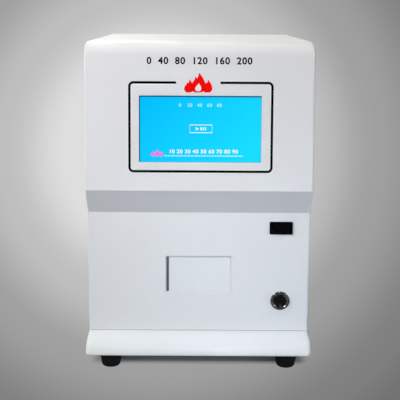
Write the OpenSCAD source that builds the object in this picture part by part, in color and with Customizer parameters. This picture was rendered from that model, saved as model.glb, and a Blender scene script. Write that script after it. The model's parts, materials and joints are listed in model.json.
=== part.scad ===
// Closed-cup flash point tester: a bench cabinet with a touch display, a power rocker,
// a start button and a motor-driven tray that carries the sample cup in under a heated lid.
// Millimetres, +Z up, front towards -Y, origin on the table at the centre of the base.

/* [Cabinet] */
// Width of the cabinet across the cover
body_w = 290; // [284:1:300]
// Depth of the base from its front lip to its rear edge
base_d = 350; // [344:1:370]
// Height of the cabinet's top above the table
body_h = 425.5; // [420:0.5:440]
// Thickness of the folded cover sheet
sheet_t = 1.5; // [1.2:0.1:2]
// Radius of the cover's long top edges
corner_r = 6.5; // [5:0.5:9]
// How far the base swells out past the cover at each side
base_swell = 2.5; // [1.5:0.5:4]
// How far the rim of the base stays inside the cover at each side
rim_inset = 1.5; // [1:0.1:1.5]
// Height of the moulded base
base_h = 26; // [24:1:30]
// Width of the solid rim round the base's hollow
rim_w = 16; // [14:1:18]
// Thickness of the base's floor
floor_t = 4; // [3:0.5:5]

/* [Front profile] */
// How far the base's lip stands in front of the lower face
lip_d = 26; // [22:1:30]
// Height of the upright lower face
lower_h = 160.5; // [158:0.5:170]
// Height of the slanted band between the two faces
band_h = 33; // [28:1:38]
// How far the upper face overhangs the lower one
band_out = 22; // [18:1:24]
// Backward lean of the upper face in degrees
lean = 3.65; // [2:0.05:5]
// Outer radius of the bend at the top of the front
bend_r = 18; // [15:1:22]
// Flat length of the front moulding behind the bend
top_return = 1; // [0.5:0.5:4]
// Wall of the front moulding
panel_t = 3; // [2.5:0.1:3.5]
// Depth of the front moulding's side returns
return_d = 12; // [10:1:14]
// Radius of the front moulding's upright edges
edge_r = 2.5; // [1.5:0.5:4]

/* [Feet] */
// Height of a rubber foot
foot_h = 18.5; // [16:0.5:22]
// Radius of a foot where it meets the base
foot_r = 14.75; // [13:0.25:16]
// Distance of the feet from the middle of the base
foot_x = 115.5; // [110:0.5:118]
// Distance of the front feet behind the base's front
foot_front = 18; // [17:1:24]
// Distance of the rear feet in front of the base's rear
foot_rear = 25; // [22:1:30]

/* [Display] */
// Width of the display window
lcd_w = 154; // [150:1:156]
// Height of the display window
lcd_h = 84; // [80:1:86]
// Sideways place of the display window's middle
lcd_x = 1; // [-2:0.5:2]
// Height of the display window's middle above the upper face's lower edge
lcd_s = 78.5; // [76:0.5:84]
// How deep the glass lies below the moulding's face
glass_recess = 0.9; // [0.5:0.1:1.4]
// Thickness of the display module
lcd_t = 6; // [5:0.5:8]

/* [Power rocker] */
// Sideways place of the rocker
rocker_x = 107.1; // [104:0.5:110]
// Height of the rocker above the lower face's lower edge
rocker_s = 140.4; // [136:0.5:143]
// Width of the rocker's flange
rocker_w = 30; // [28:0.5:32]
// Height of the rocker's flange
rocker_h = 16.7; // [16:0.1:18]
// How far the flange stands off the panel
rocker_flange = 2; // [1.5:0.1:2.5]
// Tilt of the paddle to either side of level, in degrees
rocker_tilt = 8; // [5:1:9]

/* [Start button] */
// Sideways place of the button
button_x = 107.5; // [104:0.5:110]
// Height of the button above the lower face's lower edge
button_s = 41.7; // [38:0.1:48]
// Radius of the chrome bezel
bezel_r = 12.8; // [12.4:0.1:14]
// Radius of the threaded barrel
barrel_r = 10.9; // [10.8:0.1:11.2]
// Radius of the black cap
cap_r = 8.6; // [8:0.1:8.8]
// Travel of the cap
button_travel = 2; // [1:0.5:2.5]

/* [Sample tray] */
// Width of the tray window inside its bevel
win_w = 85; // [82:0.5:88]
// Height of the tray window inside its bevel
win_h = 47.4; // [46:0.1:49]
// Height of the window's lower edge above the lower face's lower edge
win_s = 53.1; // [52.5:0.1:54]
// Width of the bevel round the tray window
win_bevel = 1.5; // [0.5:0.1:2]
// Gap beside the tray front, at its left
side_gap = 3.3; // [1:0.1:4]
// Travel of the tray
tray_travel = 90; // [60:1:92]
// Distance of the cup's axis behind the lower face
cup_in = 65; // [64:1:68]
// Thickness of the tray plate
tray_t = 4; // [3:0.5:4.5]
// Radius of the sample cup
cup_r = 21; // [18:0.5:23]
// Height of the sample cup
cup_h = 18; // [16:0.5:19]
// Rise of the cup to the oven
lift_travel = 14; // [10:0.5:15]
// Gear module of both racks
gear_m = 1; // [0.9:0.05:1]
// Teeth on each pinion
gear_teeth = 18; // [17:1:19]

/* [Oven and drives] */
// Radius of the oven block
oven_r = 32; // [30:0.5:34]
// Height of the oven block above the cup
oven_h = 32; // [28:1:40]
// Width of the tray motor
motor_w = 42; // [38:1:42]
// Width of the lift motor
lift_motor_w = 35; // [30:1:35]
// Thickness of the frame plates
plate_t = 2; // [1.5:0.5:2.5]
// Distance of the frame plates from the middle
frame_x = 56; // [55.5:0.5:57]

/* [Rear] */
// Width of the cooling fan
fan_w = 80; // [76:1:84]
// Depth of the cooling fan
fan_d = 25; // [20:1:28]
// Height of the fan's axis
fan_z = 320; // [300:1:340]
// Sideways place of the mains inlet
inlet_x = -92; // [-100:1:-84]
// Height of the mains inlet
inlet_z = 112; // [108:1:125]
// Height of the serial port
port_z = 250; // [240:1:260]

/* [Hidden] */
$fn = 64;

// Clearances, then how far cutters run past a face and joined forms reach into each other
slip = 0.3;
run = 0.05;
slide_gap = 0.15;
eps = 0.01;
past = 1;

// Levels and depths of the cabinet
front_y = -base_d / 2;
rear_y = base_d / 2;
face_y = front_y + lip_d;
rim_z = foot_h + base_h;
band_z0 = rim_z + lower_h;
band_z1 = band_z0 + band_h;
upper_y = face_y - band_out;
half_w = body_w / 2;
top_edge_y = upper_y + tan(lean) * (body_h - band_z1);
bend_tangent = bend_r * tan((90 - lean) / 2);
bend_y = top_edge_y + bend_tangent;
bend_z = body_h - bend_r;
seam_y = bend_y + top_return;
rear_inset = 3;
cover_rear = rear_y - rear_inset;
back_y = face_y + panel_t;
side_y0 = face_y + return_d;
inner_w = half_w - sheet_t;

// Plates on the base
hollow_x = half_w - rim_w;
hollow_y0 = face_y + rim_w;
hollow_y1 = cover_rear - rim_w;
chassis_t = 2;
chassis_gap = 3;
chassis_x = hollow_x - chassis_gap;
chassis_y0 = hollow_y0 + chassis_gap;
chassis_y1 = hollow_y1 - chassis_gap;
post_r = 6;
post_side = 11;
post_end = 20;
chassis_posts = [for (x = [-1, 1]) for (t = [0, 0.5, 1])
    [x * (chassis_x - post_side), chassis_y0 + post_end + t * (chassis_y1 - chassis_y0 - 2 * post_end)]];
post_hole_h = 12;
m3_core_r = 1.25;
m3_hole_r = 1.7;
upstand_t = 3;
upstand_h = 13;
upstand_rear = cover_rear - rim_w / 2;
rear_t = 1.5;
rear_sunk = 2;
rear_face = cover_rear - rear_sunk;
rear_in = rear_face - rear_t;
rear_flange_d = 12;
foot_y0 = front_y + foot_front;
foot_y1 = rear_y - foot_rear;

// Tray levels
win_z = rim_z + win_s;
tray_gap = 0.3;
tray_rise = 3.5;
plate_z = win_z + tray_rise;
tray_top = plate_z + tray_t;
cup_y = face_y + cup_in;
carrier_t = 4;
carrier_gap = 0.2;
cup_z = tray_top + carrier_gap + carrier_t;
cup_top = cup_z + cup_h;
front_t = 2.5;
front_plate_y = back_y;
tray_y0 = front_plate_y + front_t;
narrow_x = win_w / 2 - side_gap - tray_gap;
rail_w = 6;
rail_x0 = frame_x - rail_w;
groove_d = 4;
groove_gap = 0.4;
wide_x = rail_x0 + groove_d - groove_gap;
rail_in = 5;
wide_l = 100;
rail_over = 3;
wide_y0 = back_y + slide_gap + tray_travel + rail_in;
wide_y1 = wide_y0 + wide_l;
rail_y0 = back_y + rail_in;
rail_y1 = wide_y1 + rail_over;
slot_w = 18;
slot_over = 2;
slot_y1 = cup_y + tray_travel + slot_w / 2 + slot_over;

// Gears
pitch_r = gear_m * gear_teeth / 2;
dedendum = 1.25 * gear_m;
rack_tip = 0.95 * gear_m;
tip_r = pitch_r + gear_m;
root_r = pitch_r - dedendum;
pressure = 20;
backlash = 0.15 * gear_m;
rack_pitch = PI * gear_m;
rack_body = 4;
rack_in = 14;
rack_x0 = rail_x0 - rack_in;
rack_w = 6;
rack_line_z = plate_z - rack_body - dedendum;
tray_gear_z = rack_line_z - pitch_r;
tray_gear_in = 7;
tray_gear_y = wide_y0 + tray_gear_in;
rack_y0 = tray_gear_y - 2 * rack_pitch;
rack_teeth = ceil((tray_travel + 4 * rack_pitch) / rack_pitch);
shaft_r = 2.5;

// Lift
rod_w = 12;
head_gap = 1;
head_r = slot_w / 2 - head_gap;
head_top = plate_z + tray_t;
head_t = 3;
rod_up = 3;
rod_z0 = rim_z + rod_up;
lift_gear_x = rod_w / 2 + pitch_r;
lift_gear_up = 30;
lift_gear_z = rim_z + lift_gear_up;
lift_gear_w = 8;

// Oven
seal_gap = 0.3;
oven_z = cup_top + lift_travel + seal_gap;
oven_sunk = 10;
deck_z = oven_z + oven_sunk;
jacket_t = 8;
oven_flange_r = oven_r + jacket_t;
oven_flange_t = 4;

// Points on a circle's arc from angle a0 to a1 in n steps
function arc(cx, cy, r, a0, a1, n) =
    [for (i = [0 : n]) let (a = a0 + (a1 - a0) * i / n) [cx + r * cos(a), cy + r * sin(a)]];

// Outline of a rectangle with rounded corners, about its middle
function round_rect(w, h, r, n = 4) =
    concat(arc(w / 2 - r, h / 2 - r, r, 0, 90, n), arc(r - w / 2, h / 2 - r, r, 90, 180, n),
           arc(r - w / 2, r - h / 2, r, 180, 270, n), arc(w / 2 - r, r - h / 2, r, 270, 360, n));

// Inward normal of a profile's segment from a to b, in the YZ plane
function inward(a, b) = let (d = (b - a) / norm(b - a)) [d[1], -d[0]];

// Mitre direction between two segment normals, whose length keeps offsets parallel
function mitre(n1, n2) = (n1 + n2) / (1 + n1 * n2);

// Front profile from the rim of the base to the seam: corner points, then the bend
bend_n = 14;
corner_pts = [[face_y, rim_z], [face_y, band_z0], [upper_y, band_z1]];
bend_pts = arc(bend_y, bend_z, bend_r, 180 - lean, 90, bend_n);
normals = [inward(corner_pts[0], corner_pts[1]), inward(corner_pts[1], corner_pts[2]),
           [cos(lean), -sin(lean)]];
profile = concat(corner_pts, bend_pts, [[seam_y, body_h]]);
profile_in = concat([normals[0], mitre(normals[0], normals[1]), mitre(normals[1], normals[2])],
                    [for (p = bend_pts) [bend_y - p[0], bend_z - p[1]] / bend_r], [[0, -1]]);
profile_r = concat([edge_r, edge_r, edge_r],
                   [for (i = [0 : bend_n]) edge_r + (corner_r - edge_r) * i / bend_n], [corner_r]);

// The profile moved inward by d, as points in the YZ plane
function profile_at(d) = [for (i = [0 : len(profile) - 1]) profile[i] + d * profile_in[i]];

// Cross-section of the front moulding as [x, depth] points, round its outer and inner skins
function skin(w, r, d, n) = [for (i = [0 : n]) let (a = 90 - 90 * i / n)
    [w - r + r * cos(a), d + r - r * sin(a)]];
function backwards(pts) = [for (i = [len(pts) - 1 : -1 : 0]) pts[i]];
function flip_x(pts) = [for (p = pts) [-p[0], p[1]]];
function section(r) = let (
    outer = skin(half_w, r, 0, 5),
    inner = skin(half_w - panel_t, max(r - panel_t, 0.8), panel_t, 5))
    concat([[-half_w, return_d]], flip_x(backwards(outer)), outer, [[half_w, return_d]],
           [[half_w - panel_t, return_d]], backwards(inner), flip_x(inner),
           [[panel_t - half_w, return_d]]);

// Solid through equal rings of points. Its ends are closed by one face each, or where the ring
// is a band that runs out along one skin and back along the other, by a strip between the two.
module loft(rings, band = false) {
    n = len(rings[0]);
    top = (len(rings) - 1) * n;
    cap = band ? [for (j = [0 : n / 2 - 2]) [j, j + 1, n - 2 - j, n - 1 - j]] : [[for (j = [0 : n - 1]) j]];
    polyhedron(
        points = [for (ring = rings) for (p = ring) p],
        faces = concat(
            cap,
            [for (face = cap) [for (k = [len(face) - 1 : -1 : 0]) top + face[k]]],
            [for (i = [0 : len(rings) - 2]) for (j = [0 : n - 1])
                [i * n + j, (i + 1) * n + j, (i + 1) * n + (j + 1) % n]],
            [for (i = [0 : len(rings) - 2]) for (j = [0 : n - 1])
                [i * n + j, (i + 1) * n + (j + 1) % n, i * n + (j + 1) % n]]));
}

// Local frame on the upper face: X across, Z up the face, Y into the cabinet
module on_upper() {
    translate([0, upper_y, band_z1]) rotate([-lean, 0, 0]) children();
}

// Outline in XZ extruded along Y from y0 to y1
module along_y(y0, y1) {
    translate([0, y1, 0]) rotate([90, 0, 0]) linear_extrude(height = y1 - y0) children();
}

// Outline in YZ extruded along X from x0 to x1
module along_x(x0, x1) {
    translate([x0, 0, 0]) rotate([90, 0, 90]) linear_extrude(height = x1 - x0) children();
}

// Cylinder along Y from y0 to y1
module rod_y(x, z, r, y0, y1) {
    translate([x, y1, z]) rotate([90, 0, 0]) cylinder(r = r, h = y1 - y0);
}

// Cylinder along X from x0 to x1
module rod_x(y, z, r, x0, x1) {
    translate([x0, y, z]) rotate([0, 90, 0]) cylinder(r = r, h = x1 - x0);
}

// Box between two corners
module block(a, b) {
    translate(a) cube(b - a);
}

// Body of revolution about -Y through x, z; profile points are [radius, height off y]
module turned_y(x, y, z, pts) {
    translate([x, y, z]) rotate([90, 0, 0]) rotate_extrude() polygon(pts);
}

// Pan-head screw along +Z, its head's underside at zero and its shank below
module screw(r, h, head_r, head_h) {
    rim = 0.55 * head_h;
    crown = 0.72 * head_r;
    rotate_extrude()
        polygon([[0, -h], [r, -h], [r, 0], [head_r, 0], [head_r, rim], [crown, head_h], [0, head_h]]);
}

// Base: a moulded tray with a swelling rim, an upstand inside the cover and bosses
module base_outer() {
    steps = 8;
    foot_ring = 1.5;
    function ring(t, z, inset) = let (
        hw = half_w - rim_inset + (base_swell + rim_inset) * cos(t) - inset,
        y0 = face_y - lip_d * cos(t) + inset,
        y1 = cover_rear + rear_inset * cos(t) - inset)
        [for (p = round_rect(2 * hw, y1 - y0, 6)) [p[0], p[1] + (y0 + y1) / 2, z]];
    loft(concat([ring(0, foot_h, foot_ring)],
                [for (i = [0 : steps]) ring(90 * i / steps,
                    foot_h + foot_ring + (base_h - foot_ring) * sin(90 * i / steps), 0)]));
}

foot_boss_r = 8;
foot_boss_h = 16;
foot_screw_r = 2.5;
foot_screw_l = 14;
foot_seat = 8;
screw_gap = 0.1;

module base_tray() {
    color("#e9edf3") difference() {
        union() {
            difference() {
                base_outer();
                block([-hollow_x, hollow_y0, foot_h + floor_t], [hollow_x, hollow_y1, body_h]);
            }
            block([-half_w + return_d, back_y + slip, rim_z - past],
                  [half_w - return_d, back_y + slip + upstand_t, rim_z + upstand_h]);
            block([-inner_w + slip, upstand_rear, rim_z - past],
                  [inner_w - slip, upstand_rear + upstand_t, rim_z + upstand_h]);
            for (s = [-1, 1])
                translate([s * (inner_w - slip - upstand_t / 2), 0, 0])
                    block([-upstand_t / 2, side_y0 + upstand_t, rim_z - past],
                          [upstand_t / 2, upstand_rear + past, rim_z + upstand_h]);
            for (p = chassis_posts)
                translate([p[0], p[1], foot_h + past])
                    cylinder(r = post_r, h = rim_z - chassis_t - foot_h - past);
            for (x = [-foot_x, foot_x])
                translate([x, foot_y1, foot_h + past]) cylinder(r = foot_boss_r, h = foot_boss_h);
        }
        for (x = [-foot_x, foot_x]) for (y = [foot_y0, foot_y1])
            translate([x, y, foot_h - past]) cylinder(r = foot_screw_r + screw_gap, h = foot_screw_l);
        for (p = chassis_posts)
            translate([p[0], p[1], rim_z - chassis_t - post_hole_h])
                cylinder(r = m3_core_r, h = post_hole_h + past);
        for (p = cover_screw_low)
            rod_x(p[0], p[1], cover_screw_r + screw_gap, -half_w, half_w);
    }
}

// Screws at the cover's sides, as [y, z]: low ones into the base, high ones into the rear panel
cover_screw_r = 1.5;
cover_screw_front = 20;
cover_screw_mid = 20;
cover_screw_rear = 30;
cover_screw_up = 130;
cover_screw_down = 50;
cover_screw_low = [for (y = [side_y0 + cover_screw_front, cover_screw_mid, cover_rear - cover_screw_rear])
    [y, rim_z + upstand_h / 2]];
cover_screw_high = [for (z = [rim_z + cover_screw_up, body_h - cover_screw_down])
    [rear_in - rear_flange_d / 2, z]];
cover_screw_head = [3.4, 1.5];
cover_screw_bite = 2.5;

module cover_screws() {
    color("#c8c9cb") for (s = [-1, 1]) for (p = concat(cover_screw_low, cover_screw_high))
        translate([s * half_w, p[0], p[1]]) rotate([0, s * 90, 0])
            screw(cover_screw_r, sheet_t + slip + cover_screw_bite, cover_screw_head[0],
                  cover_screw_head[1]);
}

// Front moulding: one profile with side returns, and the holes for what it carries
boss_out = 12;
boss_up = 4;
boss_x = lcd_w / 2 + boss_out;
boss_s = [lcd_s - lcd_h / 2 - boss_up, lcd_s + lcd_h / 2 + boss_up];
boss_r = 3.5;
boss_core_r = 1.35;
module_margin = 6;
lcd_gap = 0.05;

// Cutter for the bevel round the tray window's outer edge
module window_bevel() {
    function ring(y, grow) = [for (q = [[-1, 1], [1, 1], [1, -1], [-1, -1]])
        [q[0] * (win_w / 2 + grow), y, win_z + win_h / 2 + q[1] * (win_h / 2 + grow)]];
    loft([ring(face_y - past, win_bevel + past), ring(face_y + win_bevel, 0)]);
}

module front_panel() {
    ring_of = function (i) [for (p = section(profile_r[i]))
        [p[0], profile[i][0] + p[1] * profile_in[i][0], profile[i][1] + p[1] * profile_in[i][1]]];
    color("#dcdde0") difference() {
        union() {
            loft([for (i = [0 : len(profile) - 1]) ring_of(i)], band = true);
            on_upper() for (x = [-boss_x, boss_x]) for (s = boss_s)
                rod_y(lcd_x + x, s, boss_r, panel_t - past / 2, panel_t + lcd_t);
        }
        on_upper() {
            block([lcd_x - lcd_w / 2, -past, lcd_s - lcd_h / 2],
                  [lcd_x + lcd_w / 2, panel_t + past / 2, lcd_s + lcd_h / 2]);
            for (x = [-boss_x, boss_x]) for (s = boss_s)
                rod_y(lcd_x + x, s, boss_core_r, panel_t, panel_t + lcd_t + past);
        }
        block([-win_w / 2, face_y - past, win_z], [win_w / 2, back_y + past, win_z + win_h]);
        window_bevel();
        translate([rocker_x, 0, rocker_z])
            block([-rocker_body_w / 2 - rocker_gap, face_y - past, -rocker_body_h / 2 - rocker_gap],
                  [rocker_body_w / 2 + rocker_gap, back_y + past, rocker_body_h / 2 + rocker_gap]);
        rod_y(button_x, button_z, barrel_r + screw_gap, face_y - past, back_y + past);
    }
}

// Cover: folded sheet over the top and both sides, cut to the front moulding's returns
vent_w = 3.6;
vent_round = 1.7;
side_vents = 10;
side_vent_h = 42;
side_vent_pitch = 9;
side_vent_in = 62;
side_vent_up = 60;
module vent_slots() {
    for (i = [0 : side_vents - 1])
        translate([-half_w - past, cover_rear - side_vent_in - i * side_vent_pitch, rim_z + side_vent_up])
            rotate([90, 0, 90]) linear_extrude(height = body_w + 2 * past)
                polygon(round_rect(vent_w, side_vent_h, vent_round));
}

module top_cover() {
    inner_r = corner_r - sheet_t;
    outer = concat([[half_w, rim_z]], arc(half_w - corner_r, body_h - corner_r, corner_r, 0, 90, 8),
                   arc(corner_r - half_w, body_h - corner_r, corner_r, 90, 180, 8), [[-half_w, rim_z]]);
    inner = concat([[-inner_w, rim_z]], arc(corner_r - half_w, body_h - corner_r, inner_r, 180, 90, 8),
                   arc(half_w - corner_r, body_h - corner_r, inner_r, 90, 0, 8), [[inner_w, rim_z]]);
    ahead = 60;
    color("#f0efec") difference() {
        along_y(upper_y, cover_rear) polygon(concat(outer, inner));
        along_x(-half_w - past, half_w + past)
            polygon(concat(profile_at(return_d + slip), [[seam_y + slip, body_h - return_d],
                [seam_y + slip, body_h + past], [upper_y - ahead, body_h + past],
                [upper_y - ahead, rim_z - past], [side_y0 + slip, rim_z - past]]));
        vent_slots();
        for (p = concat(cover_screw_low, cover_screw_high))
            rod_x(p[0], p[1], cover_screw_r + screw_gap, -half_w - past, half_w + past);
    }
}

// Rear panel: flat sheet with side flanges, set in behind the cover's edge
fan_ring = 2;
fan_bore = fan_w / 2 - fan_ring;
fan_corner_in = 4.24;
fan_pitch = fan_w / 2 - fan_corner_in;
rear_gap = slip;
fan_hole_r = 2.1;
inlet_w = 48;
inlet_h = 24;
inlet_body_w = 30;
inlet_body_h = 20;
inlet_gap = 0.3;
inlet_screw_x = 20;
inlet_screw_r = 1.6;
port_x = 92;
port_w = 31;
port_hole_w = 20;
port_hole_h = 11;
rear_vents = 14;
rear_vent_h = 36;
rear_vent_pitch = 8;
rear_vent_x = 22;
rear_vent_up = 45;

module rear_panel() {
    w = inner_w - rear_gap;
    z0 = rim_z + slip;
    z1 = body_h - sheet_t - rear_gap;
    r = corner_r - sheet_t;
    color("#e2e3e4") difference() {
        union() {
            along_y(rear_in, rear_face)
                polygon(concat([[w, z0]], arc(w - r, z1 - r, r, 0, 90, 5), arc(r - w, z1 - r, r, 90, 180, 5),
                               [[-w, z0]]));
            for (s = [-1, 1])
                translate([s * (w - rear_t / 2), 0, 0])
                    block([-rear_t / 2, rear_in - rear_flange_d, rim_z + upstand_h + upstand_t],
                          [rear_t / 2, rear_in + rear_t / 2, z1 - r]);
        }
        rod_y(0, fan_z, fan_bore, rear_in - past, rear_face + past);
        for (x = [-1, 1]) for (z = [-1, 1])
            rod_y(x * fan_pitch, fan_z + z * fan_pitch, fan_hole_r, rear_in - past, rear_face + past);
        translate([inlet_x, 0, inlet_z])
            block([-inlet_body_w / 2 - inlet_gap, rear_in - past, -inlet_body_h / 2 - inlet_gap],
                  [inlet_body_w / 2 + inlet_gap, rear_face + past, inlet_body_h / 2 + inlet_gap]);
        for (x = [-1, 1])
            rod_y(inlet_x + x * inlet_screw_x, inlet_z, inlet_screw_r, rear_in - past, rear_face + past);
        block([port_x - port_hole_h / 2, rear_in - past, port_z - port_hole_w / 2],
              [port_x + port_hole_h / 2, rear_face + past, port_z + port_hole_w / 2]);
        for (i = [0 : rear_vents - 1])
            translate([rear_vent_x + (i - (rear_vents - 1) / 2) * rear_vent_pitch, rear_face + past,
                       rim_z + rear_vent_up])
                rotate([90, 0, 0]) linear_extrude(height = rear_t + 2 * past)
                    polygon(round_rect(vent_w, rear_vent_h, vent_round));
        for (p = cover_screw_high)
            rod_x(p[0], p[1], cover_screw_r + screw_gap, -half_w, half_w);
    }
}

// Rubber foot, turned with a rounded tread and a recess for its screw
foot_socket_r = 5.5;
foot_screw_head = [4.8, 3];
module foot(x, y) {
    tread_r = foot_r - 2.5;
    round_r = 3;
    collar = 2.5;
    color("#161616") translate([x, y, 0]) rotate_extrude()
        polygon(concat([[foot_screw_r + screw_gap, foot_h], [foot_screw_r + screw_gap, foot_seat],
                        [foot_socket_r, foot_seat], [foot_socket_r, 0]],
                       arc(tread_r - round_r, round_r, round_r, -90, -12, 5),
                       [[foot_r, foot_h - collar], [foot_r, foot_h]]));
}

module foot_screws() {
    tip = 1.5;
    color("#8d8f92") for (x = [-foot_x, foot_x]) for (y = [foot_y0, foot_y1])
        translate([x, y, foot_seat]) rotate([180, 0, 0])
            screw(foot_screw_r, foot_h - past - foot_seat + foot_screw_l - tip, foot_screw_head[0],
                  foot_screw_head[1]);
}

// Touch glass in the window, and the display module clamped behind it by two straps
module display_glass() {
    color("#12aef0") on_upper()
        block([lcd_x - lcd_w / 2 + slip, glass_recess, lcd_s - lcd_h / 2 + slip],
              [lcd_x + lcd_w / 2 - slip, panel_t, lcd_s + lcd_h / 2 - slip]);
}

// Cover of the driver electronics on the module's back, as its width, height and thickness
driver = [70, 38, 3];
driver_rib = 2;
module lcd_module() {
    back = panel_t + lcd_t;
    color("#9fa3a6") on_upper() {
        block([lcd_x - lcd_w / 2 - module_margin, panel_t + lcd_gap, lcd_s - lcd_h / 2 - module_margin],
              [lcd_x + lcd_w / 2 + module_margin, back, lcd_s + lcd_h / 2 + module_margin]);
        block([lcd_x - driver[0] / 2, back, lcd_s - driver[1] / 2],
              [lcd_x + driver[0] / 2, back + driver[2], lcd_s + driver[1] / 2]);
        for (x = [-1, 1])
            translate([lcd_x + x * (driver[0] / 2 + 4 * driver_rib), 0, lcd_s])
                block([-driver_rib / 2, back, -lcd_h / 2], [driver_rib / 2, back + driver_rib, lcd_h / 2]);
    }
}

strap_w = 18;
strap_t = 1.5;
strap_end = 6;
strap_hole_r = 1.6;
display_screw_r = 1.3;
display_screw_head = [2.8, 2];
module display_straps() {
    y0 = panel_t + lcd_t;
    color("#b9bcbf") on_upper() for (sx = [-1, 1]) translate([lcd_x + sx * boss_x, 0, 0]) difference() {
        block([-strap_w / 2, y0, boss_s[0] - strap_end], [strap_w / 2, y0 + strap_t, boss_s[1] + strap_end]);
        for (s = boss_s)
            rod_y(0, s, strap_hole_r, y0 - past, y0 + strap_t + past);
    }
}

module display_screws() {
    color("#8d8f92") on_upper() for (x = [-boss_x, boss_x]) for (s = boss_s)
        translate([lcd_x + x, panel_t + lcd_t + strap_t, s]) rotate([-90, 0, 0])
            screw(display_screw_r, lcd_t, display_screw_head[0], display_screw_head[1]);
}

// Steel plate on the base's posts, flush with the rim
module chassis_plate() {
    color("#b9bcbf") difference() {
        block([-chassis_x, chassis_y0, rim_z - chassis_t], [chassis_x, chassis_y1, rim_z]);
        for (p = chassis_posts)
            translate([p[0], p[1], rim_z - chassis_t - past])
                cylinder(r = m3_hole_r, h = chassis_t + 2 * past);
    }
}

// Upright frame plate with a foot flange and windows, carrying one rail and half of the oven's deck
frame_foot_w = 16;
frame_win_w = 34;
frame_win_h = 26;
frame_win_r = 5;
frame_win_in = 32;
rail_lip = 4;
rail_screw_in = 12;
module slide_frame(s) {
    low_z = (rim_z + plate_z - rail_lip) / 2;
    high_z = (tray_top + rail_lip + deck_z) / 2;
    color("#b9bcbf") difference() {
        union() {
            translate([s * (frame_x + plate_t / 2), 0, 0])
                block([-plate_t / 2, rail_y0, rim_z], [plate_t / 2, rail_y1, deck_z]);
            translate([s * (frame_x + frame_foot_w / 2), 0, 0])
                block([-frame_foot_w / 2, chassis_y0, rim_z], [frame_foot_w / 2, rail_y1, rim_z + plate_t]);
        }
        for (y = [rail_y0 + frame_win_in, rail_y1 - frame_win_in]) for (z = [low_z, high_z])
            translate([s * (frame_x + plate_t / 2) - plate_t, y, z]) rotate([90, 0, 90])
                linear_extrude(height = 2 * plate_t)
                    polygon(round_rect(frame_win_w, frame_win_h, frame_win_r));
        if (s > 0)
            motor_seat(tray_gear_y, tray_gear_z, motor_w, frame_x);
        for (y = [rail_y0 + rail_screw_in, rail_y1 - rail_screw_in])
            rod_x(y, plate_z + tray_t / 2, m3_hole_r, -frame_x - plate_t - past, frame_x + plate_t + past);
    }
}

// Holes for a motor's boss and its four screws, through a plate that starts at x
module motor_seat(y, z, w, x) {
    half = motor_pitch(w) / 2;
    rod_x(y, z, motor_boss_r + slip, x - past, x + plate_t + past);
    for (sy = [-1, 1]) for (sz = [-1, 1])
        rod_x(y + sy * half, z + sz * half, m3_hole_r, x - past, x + plate_t + past);
}

module tray_rail(s) {
    color("#cfd2d4") difference() {
        translate([s * (frame_x - rail_w / 2), 0, 0])
            block([-rail_w / 2, rail_y0, plate_z - slide_gap - rail_lip],
                  [rail_w / 2, rail_y1, tray_top + slide_gap + rail_lip]);
        translate([s * (rail_x0 + (groove_d - past) / 2), 0, 0])
            block([-(groove_d + past) / 2, rail_y0 - past, plate_z - slide_gap],
                  [(groove_d + past) / 2, rail_y1 + past, tray_top + slide_gap]);
    }
}

// Tray plate: narrow where it leaves the window, wide where it runs in the rails
module tray_plate() {
    color("#c9cccf") difference() {
        union() {
            block([-narrow_x, tray_y0, plate_z], [narrow_x, wide_y0 + past, tray_top]);
            block([-wide_x, wide_y0, plate_z], [wide_x, wide_y1, tray_top]);
        }
        translate([0, cup_y, plate_z - past]) cylinder(r = slot_w / 2, h = tray_t + 2 * past);
        block([-slot_w / 2, cup_y, plate_z - past], [slot_w / 2, slot_y1, tray_top + past]);
    }
}

module tray_front() {
    color("#dcdfe4")
        block([side_gap - win_w / 2, front_plate_y, win_z + tray_gap],
              [win_w / 2 - tray_gap, tray_y0, win_z + win_h - tray_gap]);
}

// Half width of a rack tooth at height h off the pitch line
function tooth_half(h) = rack_pitch / 4 - backlash / 2 - h * tan(pressure);

// Rack outline: teeth up along +X from the first root, the body under their roots
function rack_outline(n) = concat(
    [[0, -rack_body - dedendum]],
    [for (i = [0 : n - 1]) let (c = (i + 0.5) * rack_pitch) each
        [[c - tooth_half(-dedendum), -dedendum], [c - tooth_half(rack_tip), rack_tip],
         [c + tooth_half(rack_tip), rack_tip], [c + tooth_half(-dedendum), -dedendum]]],
    [[n * rack_pitch, -rack_body - dedendum]]);

// Involute pinion outline with one tooth centred on angle zero
base_r = pitch_r * cos(pressure);
function inv_deg(r) = let (a = acos(min(1, base_r / r))) tan(a) * 180 / PI - a;
function flank(r) = 90 / gear_teeth - backlash / 2 / pitch_r * 180 / PI
    + inv_deg(pitch_r) - (r > base_r ? inv_deg(r) : 0);
flank_r = [root_r, base_r, base_r + 0.25 * (tip_r - base_r), base_r + 0.5 * (tip_r - base_r),
           base_r + 0.75 * (tip_r - base_r), tip_r];
pinion_outline = [for (i = [0 : gear_teeth - 1]) let (c = 360 * i / gear_teeth) each concat(
    [for (r = flank_r) r * [cos(c - flank(r)), sin(c - flank(r))]],
    [for (r = backwards(flank_r)) r * [cos(c + flank(r)), sin(c + flank(r))]])];

pinion_hub_h = 3;
module pinion(width) {
    difference() {
        union() {
            linear_extrude(height = width) polygon(pinion_outline);
            translate([0, 0, width]) cylinder(r = root_r - gear_m, h = pinion_hub_h);
        }
        translate([0, 0, -past]) cylinder(r = shaft_r + run, h = width + pinion_hub_h + 2 * past);
    }
}

// Tray rack: teeth down, one tooth gap over the pinion's upright tooth
module tray_rack() {
    color("#d8cfae") translate([rack_x0, rack_y0, rack_line_z]) rotate([90, 0, 90])
        linear_extrude(height = rack_w) mirror([0, 1]) polygon(rack_outline(rack_teeth));
}

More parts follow.
